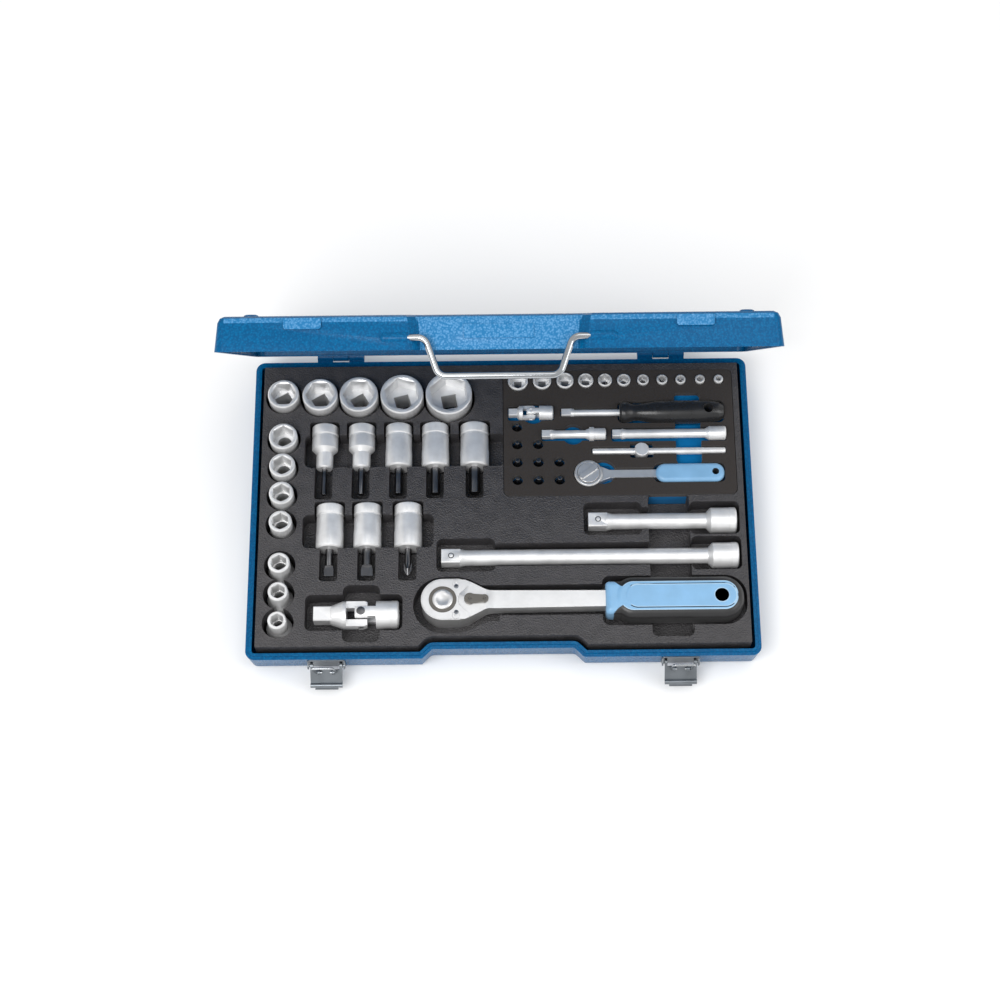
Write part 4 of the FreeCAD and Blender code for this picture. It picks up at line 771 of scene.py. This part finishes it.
@dataclass
class ReversibleRatchet:
    """Half-inch ratchet: body, cover, works and grip."""

    collar_mm: float = 6.4
    neck_mm: float = 18.0
    inlay_from_mm: float = 22.0
    collar_half_mm: float = 14.6
    neck_half_mm: float = 7.4
    inlay_half_mm: float = 10.2
    lift_mm: float = 0.22
    flare_end_mm: float = 20.5
    skin_mm: float = 1.2
    edge_mm: float = 0.7
    axis_height: float = 0.034
    flare_from_mm: float = 1.2
    flare_power: float = 2.2
    inlay_power: float = 1.5
    flare_grid: tuple[int, int] = (30, 24)
    top_skin: float = 0.0004
    ray_from: float = 0.2
    screw_mm: tuple[float, float] = (11.3, 11.3)
    screw_r_mm: float = 1.9
    screw_bore_share: float = 0.45
    screw_t_mm: float = 0.3
    bore_t_mm: float = 0.1

    def build(self) -> None:
        """Dress the ratchet."""
        dress("ratchet_body", Paint.BRIGHT, 0.5, 3)
        dress("ratchet_cover", Paint.BRIGHT, 0.2)
        dress("ratchet_button", Paint.BRIGHT, 0.2)
        dress("ratchet_drive", Paint.DARK, 0.2)
        dress("ratchet_pawl", Paint.DARK, 0.2)
        dress("ratchet_lever", Paint.DARK, 0.3)
        self.head_screws()
        self.grip()

    def head_screws(self) -> None:
        """Two small studs, inward of the cover's own screws, each with a dark disc at its centre as painted
        shade of its bore.
        """
        low, high = box_of("ratchet_button")
        for side in (-1, 1):
            x = (low.x + high.x) / 2 + self.screw_mm[0] * MM
            y = (low.y + high.y) / 2 + side * self.screw_mm[1] * MM
            spot = Vector((x, y, top_of("ratchet_cover", x, y)))
            name = "ratchet_screw_" + ("near" if side < 0 else "far")
            screw = disc(name, spot, self.screw_r_mm, self.screw_t_mm, Paint.ZINC)
            ride_on(screw, "ratchet_cover")
            # Dark disc at each stud's centre: painted shade of its bore.
            spot.z += self.screw_t_mm / 2 * MM
            bore_r_mm = self.screw_r_mm * self.screw_bore_share
            bore_shade_disc = disc(name + "_bore", spot, bore_r_mm, self.bore_t_mm, Paint.BIT)
            ride_on(bore_shade_disc, "ratchet_cover")

    def grip(self) -> None:
        """Black grip with its blue collar and inlay; a paler band round the inlay is painted highlight on
        its rim.
        """
        low, high = box_of("ratchet_grip")
        start, top = low.x, high.z - self.top_skin
        collar_end = start + self.collar_mm * MM
        bm = merged_copy("ratchet_grip")
        bmesh.ops.bisect_plane(bm, geom=bm.verts[:] + bm.edges[:] + bm.faces[:],
                               plane_co=(collar_end, 0.0, 0.0), plane_no=(1.0, 0.0, 0.0))
        for face in bm.faces:
            middle = face.calc_center_median()
            face.material_index = 1 if middle.x < collar_end or middle.z > top else 0
        inlay = [face for face in bm.faces if face.calc_center_median().z > top and face.normal.z > 0.9]
        edge = bmesh.ops.inset_region(bm, faces=inlay, thickness=self.edge_mm * MM, use_even_offset=True,
                                      use_boundary=True)["faces"]
        # The band round the inlay takes the paler blue, a painted highlight.
        for face in edge:
            face.material_index = 2
        grip = piece_from("ratchet_grip_finish", bm, (Paint.GRIP_BLACK, Paint.GRIP_BLUE, Paint.GRIP_EDGE))
        ease_edges(grip, 0.3)
        fit_out(grip, "ratchet_grip")
        self.collar_flare(start, (low.y + high.y) / 2)

    def half_width(self, along: float) -> float:
        """Half width of the blue flare.

        Args:
            along: Distance from the grip's front, in mm.

        Returns:
            The half width there, in mm.
        """
        if along < self.neck_mm:
            share = max(0.0, along - self.collar_mm) / (self.neck_mm - self.collar_mm)
            wider = self.collar_half_mm - self.neck_half_mm
            return self.neck_half_mm + wider * (1.0 - share) ** self.flare_power
        share = min(1.0, (along - self.neck_mm) / (self.inlay_from_mm - self.neck_mm))
        return self.neck_half_mm + (self.inlay_half_mm - self.neck_half_mm) * share ** self.inlay_power

    def collar_flare(self, start: float, middle_y: float) -> None:
        """Blue skin that runs from the collar into the inlay, laid on the grip.

        Args:
            start: Where the grip begins along X, in metres.
            middle_y: The grip's middle line.
        """
        bare = merged_copy("ratchet_grip")
        bmesh.ops.triangulate(bare, faces=bare.faces)
        under = BVHTree.FromBMesh(bare)
        bare.free()
        bm = bmesh.new()
        rows, columns = self.flare_grid
        bmesh.ops.create_grid(bm, x_segments=rows, y_segments=columns, size=1.0)
        for vert in bm.verts:
            along = self.flare_from_mm + (self.flare_end_mm - self.flare_from_mm) * (vert.co.x + 1.0) / 2.0
            across = self.half_width(along) * vert.co.y
            spot = Vector((start + along * MM, middle_y + across * MM, self.ray_from))
            hit = under.ray_cast(spot, DOWN)[0]
            spot.z = (hit.z if hit else self.axis_height) + self.lift_mm * MM
            vert.co = spot
        skin = bmesh.ops.extrude_face_region(bm, geom=bm.faces[:])["geom"]
        sunk = [part for part in skin if isinstance(part, bmesh.types.BMVert)]
        bmesh.ops.translate(bm, verts=sunk, vec=(0.0, 0.0, -self.skin_mm * MM))
        bmesh.ops.recalc_face_normals(bm, faces=bm.faces)
        ride_on(piece_from("ratchet_grip_flare", bm, (Paint.GRIP_BLUE,)), "ratchet_grip")


@dataclass
class FoamModule:
    """Two-layer foam insert with the quarter-inch tools."""

    satin: tuple[str, ...] = ("quarter_sockets", "quarter_extension_short", "quarter_extension_long",
                              "tee_bar", "tee_head", "small_joint_socket", "small_joint_drive",
                              "driver_shaft")
    blue_above: float = 0.70

    def build(self) -> None:
        """Dress the foam and every quarter-inch tool."""
        dress("foam_base", Paint.FOAM_BLUE, 0.3)
        dress("foam_top", Paint.FOAM_BLACK, 0.5)
        for node in self.satin:
            dress(node, Paint.SATIN, 0.15)
        dress("quarter_bits", Paint.BIT, 0.1)
        dress("driver_handle", Paint.DRIVER, 0.3)
        dress("small_ratchet_body", Paint.BRIGHT, 0.25)
        dress("small_ratchet_dial", Paint.BRIGHT, 0.25)
        dress("small_ratchet_drive", Paint.SATIN, 0.15)
        low, high = box_of("small_ratchet_grip")
        shoulder = low.z + (high.z - low.z) * self.blue_above
        dress("small_ratchet_grip", Paint.GRIP_BLACK, 0.3, other=Paint.GRIP_BLUE,
              where=lambda face: face.calc_center_median().z > shoulder)


# ---------------------------------------------------------------- studio
@dataclass(frozen=True)
class Lamp:
    """One soft rectangular light."""

    name: str
    place: Place
    size: tuple[float, float]
    power: float
    aim: Place = (0.0, 0.0, 0.03)

    def make(self) -> None:
        """Hang the light and turn it to its aim."""
        light = bpy.data.lights.new(self.name, "AREA")
        light.shape = "RECTANGLE"
        light.size, light.size_y = self.size
        light.energy = self.power
        lamp = bpy.data.objects.new(self.name, light)
        lamp.location = self.place
        lamp.rotation_euler = (Vector(self.aim) - lamp.location).to_track_quat("-Z", "Y").to_euler()
        bpy.context.scene.collection.objects.link(lamp)


@dataclass
class Studio:
    """Pale floor, soft lights and the camera."""

    floor_size: float = 12.0
    floor_drop: float = 0.0005
    camera_place: Place = (0.00744, -0.69280, 1.69587)
    yaw_deg: float = -0.745
    pitch_deg: float = 67.29
    roll_deg: float = -1.29
    lens_mm: float = 76.8
    sensor_mm: float = 36.0
    ambient: float = 0.68
    lamps: tuple[Lamp, ...] = (
        Lamp("front_softbox", (-0.70, -0.95, 1.85), (1.3, 1.0), 26.0),
        Lamp("top_strip", (0.35, 0.25, 2.10), (1.5, 0.7), 5.0),
        Lamp("right_fill", (1.5, -0.5, 1.3), (0.9, 1.2), 9.0),
    )

    def build(self) -> None:
        """Set up everything round the object."""
        self.make_floor()
        self.make_camera()
        self.make_world()
        for lamp in self.lamps:
            lamp.make()

    def make_floor(self) -> None:
        """Plain pale floor under the case."""
        bm = bmesh.new()
        bmesh.ops.create_grid(bm, x_segments=1, y_segments=1, size=self.floor_size / 2)
        bmesh.ops.translate(bm, verts=bm.verts, vec=(0.0, 0.0, CAD_BOX[0].z - self.floor_drop))
        mesh = bpy.data.meshes.new("floor")
        bm.to_mesh(mesh)
        bm.free()
        recipe = Recipe("floor_paper")
        recipe.set(Base_Color=(0.90, 0.90, 0.90), Roughness=0.85, Specular_IOR_Level=0.2)
        mesh.materials.append(recipe.material)
        floor = bpy.data.objects.new("floor", mesh)
        bpy.context.scene.collection.objects.link(floor)

    def make_camera(self) -> None:
        """Camera above the front of the case."""
        yaw, pitch, roll = (math.radians(a) for a in (self.yaw_deg, self.pitch_deg, self.roll_deg))
        ahead = Vector((math.sin(yaw) * math.cos(pitch), math.cos(yaw) * math.cos(pitch), -math.sin(pitch)))
        right = Vector((math.cos(yaw), -math.sin(yaw), 0.0))
        above = right.cross(ahead)
        across = right * math.cos(roll) + above * math.sin(roll)
        upward = above * math.cos(roll) - right * math.sin(roll)
        turn = Matrix((across, upward, -ahead)).transposed().to_4x4()
        data = bpy.data.cameras.new("camera")
        data.lens = self.lens_mm
        data.sensor_width = self.sensor_mm
        camera = bpy.data.objects.new("camera", data)
        camera.matrix_world = Matrix.Translation(self.camera_place) @ turn
        bpy.context.scene.collection.objects.link(camera)
        bpy.context.scene.camera = camera

    def make_world(self) -> None:
        """Even white surroundings."""
        world = bpy.data.worlds.new("surroundings")
        world.use_nodes = True
        background = world.node_tree.nodes["Background"]
        background.inputs["Color"].default_value = (1.0, 1.0, 1.0, 1.0)
        background.inputs["Strength"].default_value = self.ambient
        bpy.context.scene.world = world
        bpy.context.scene.view_settings.view_transform = "Standard"


def main() -> None:
    """Build every sub-assembly in order, then the studio."""
    logging.basicConfig(level=logging.INFO, format="%(message)s")
    for assembly in (SteelCase(), CaseFittings(), ToolTray(), HalfInchTools(), ReversibleRatchet(),
                     FoamModule()):
        LOG.info("%s", type(assembly).__name__)
        assembly.build()
    Studio().build()


if __name__ == "__main__":
    main()
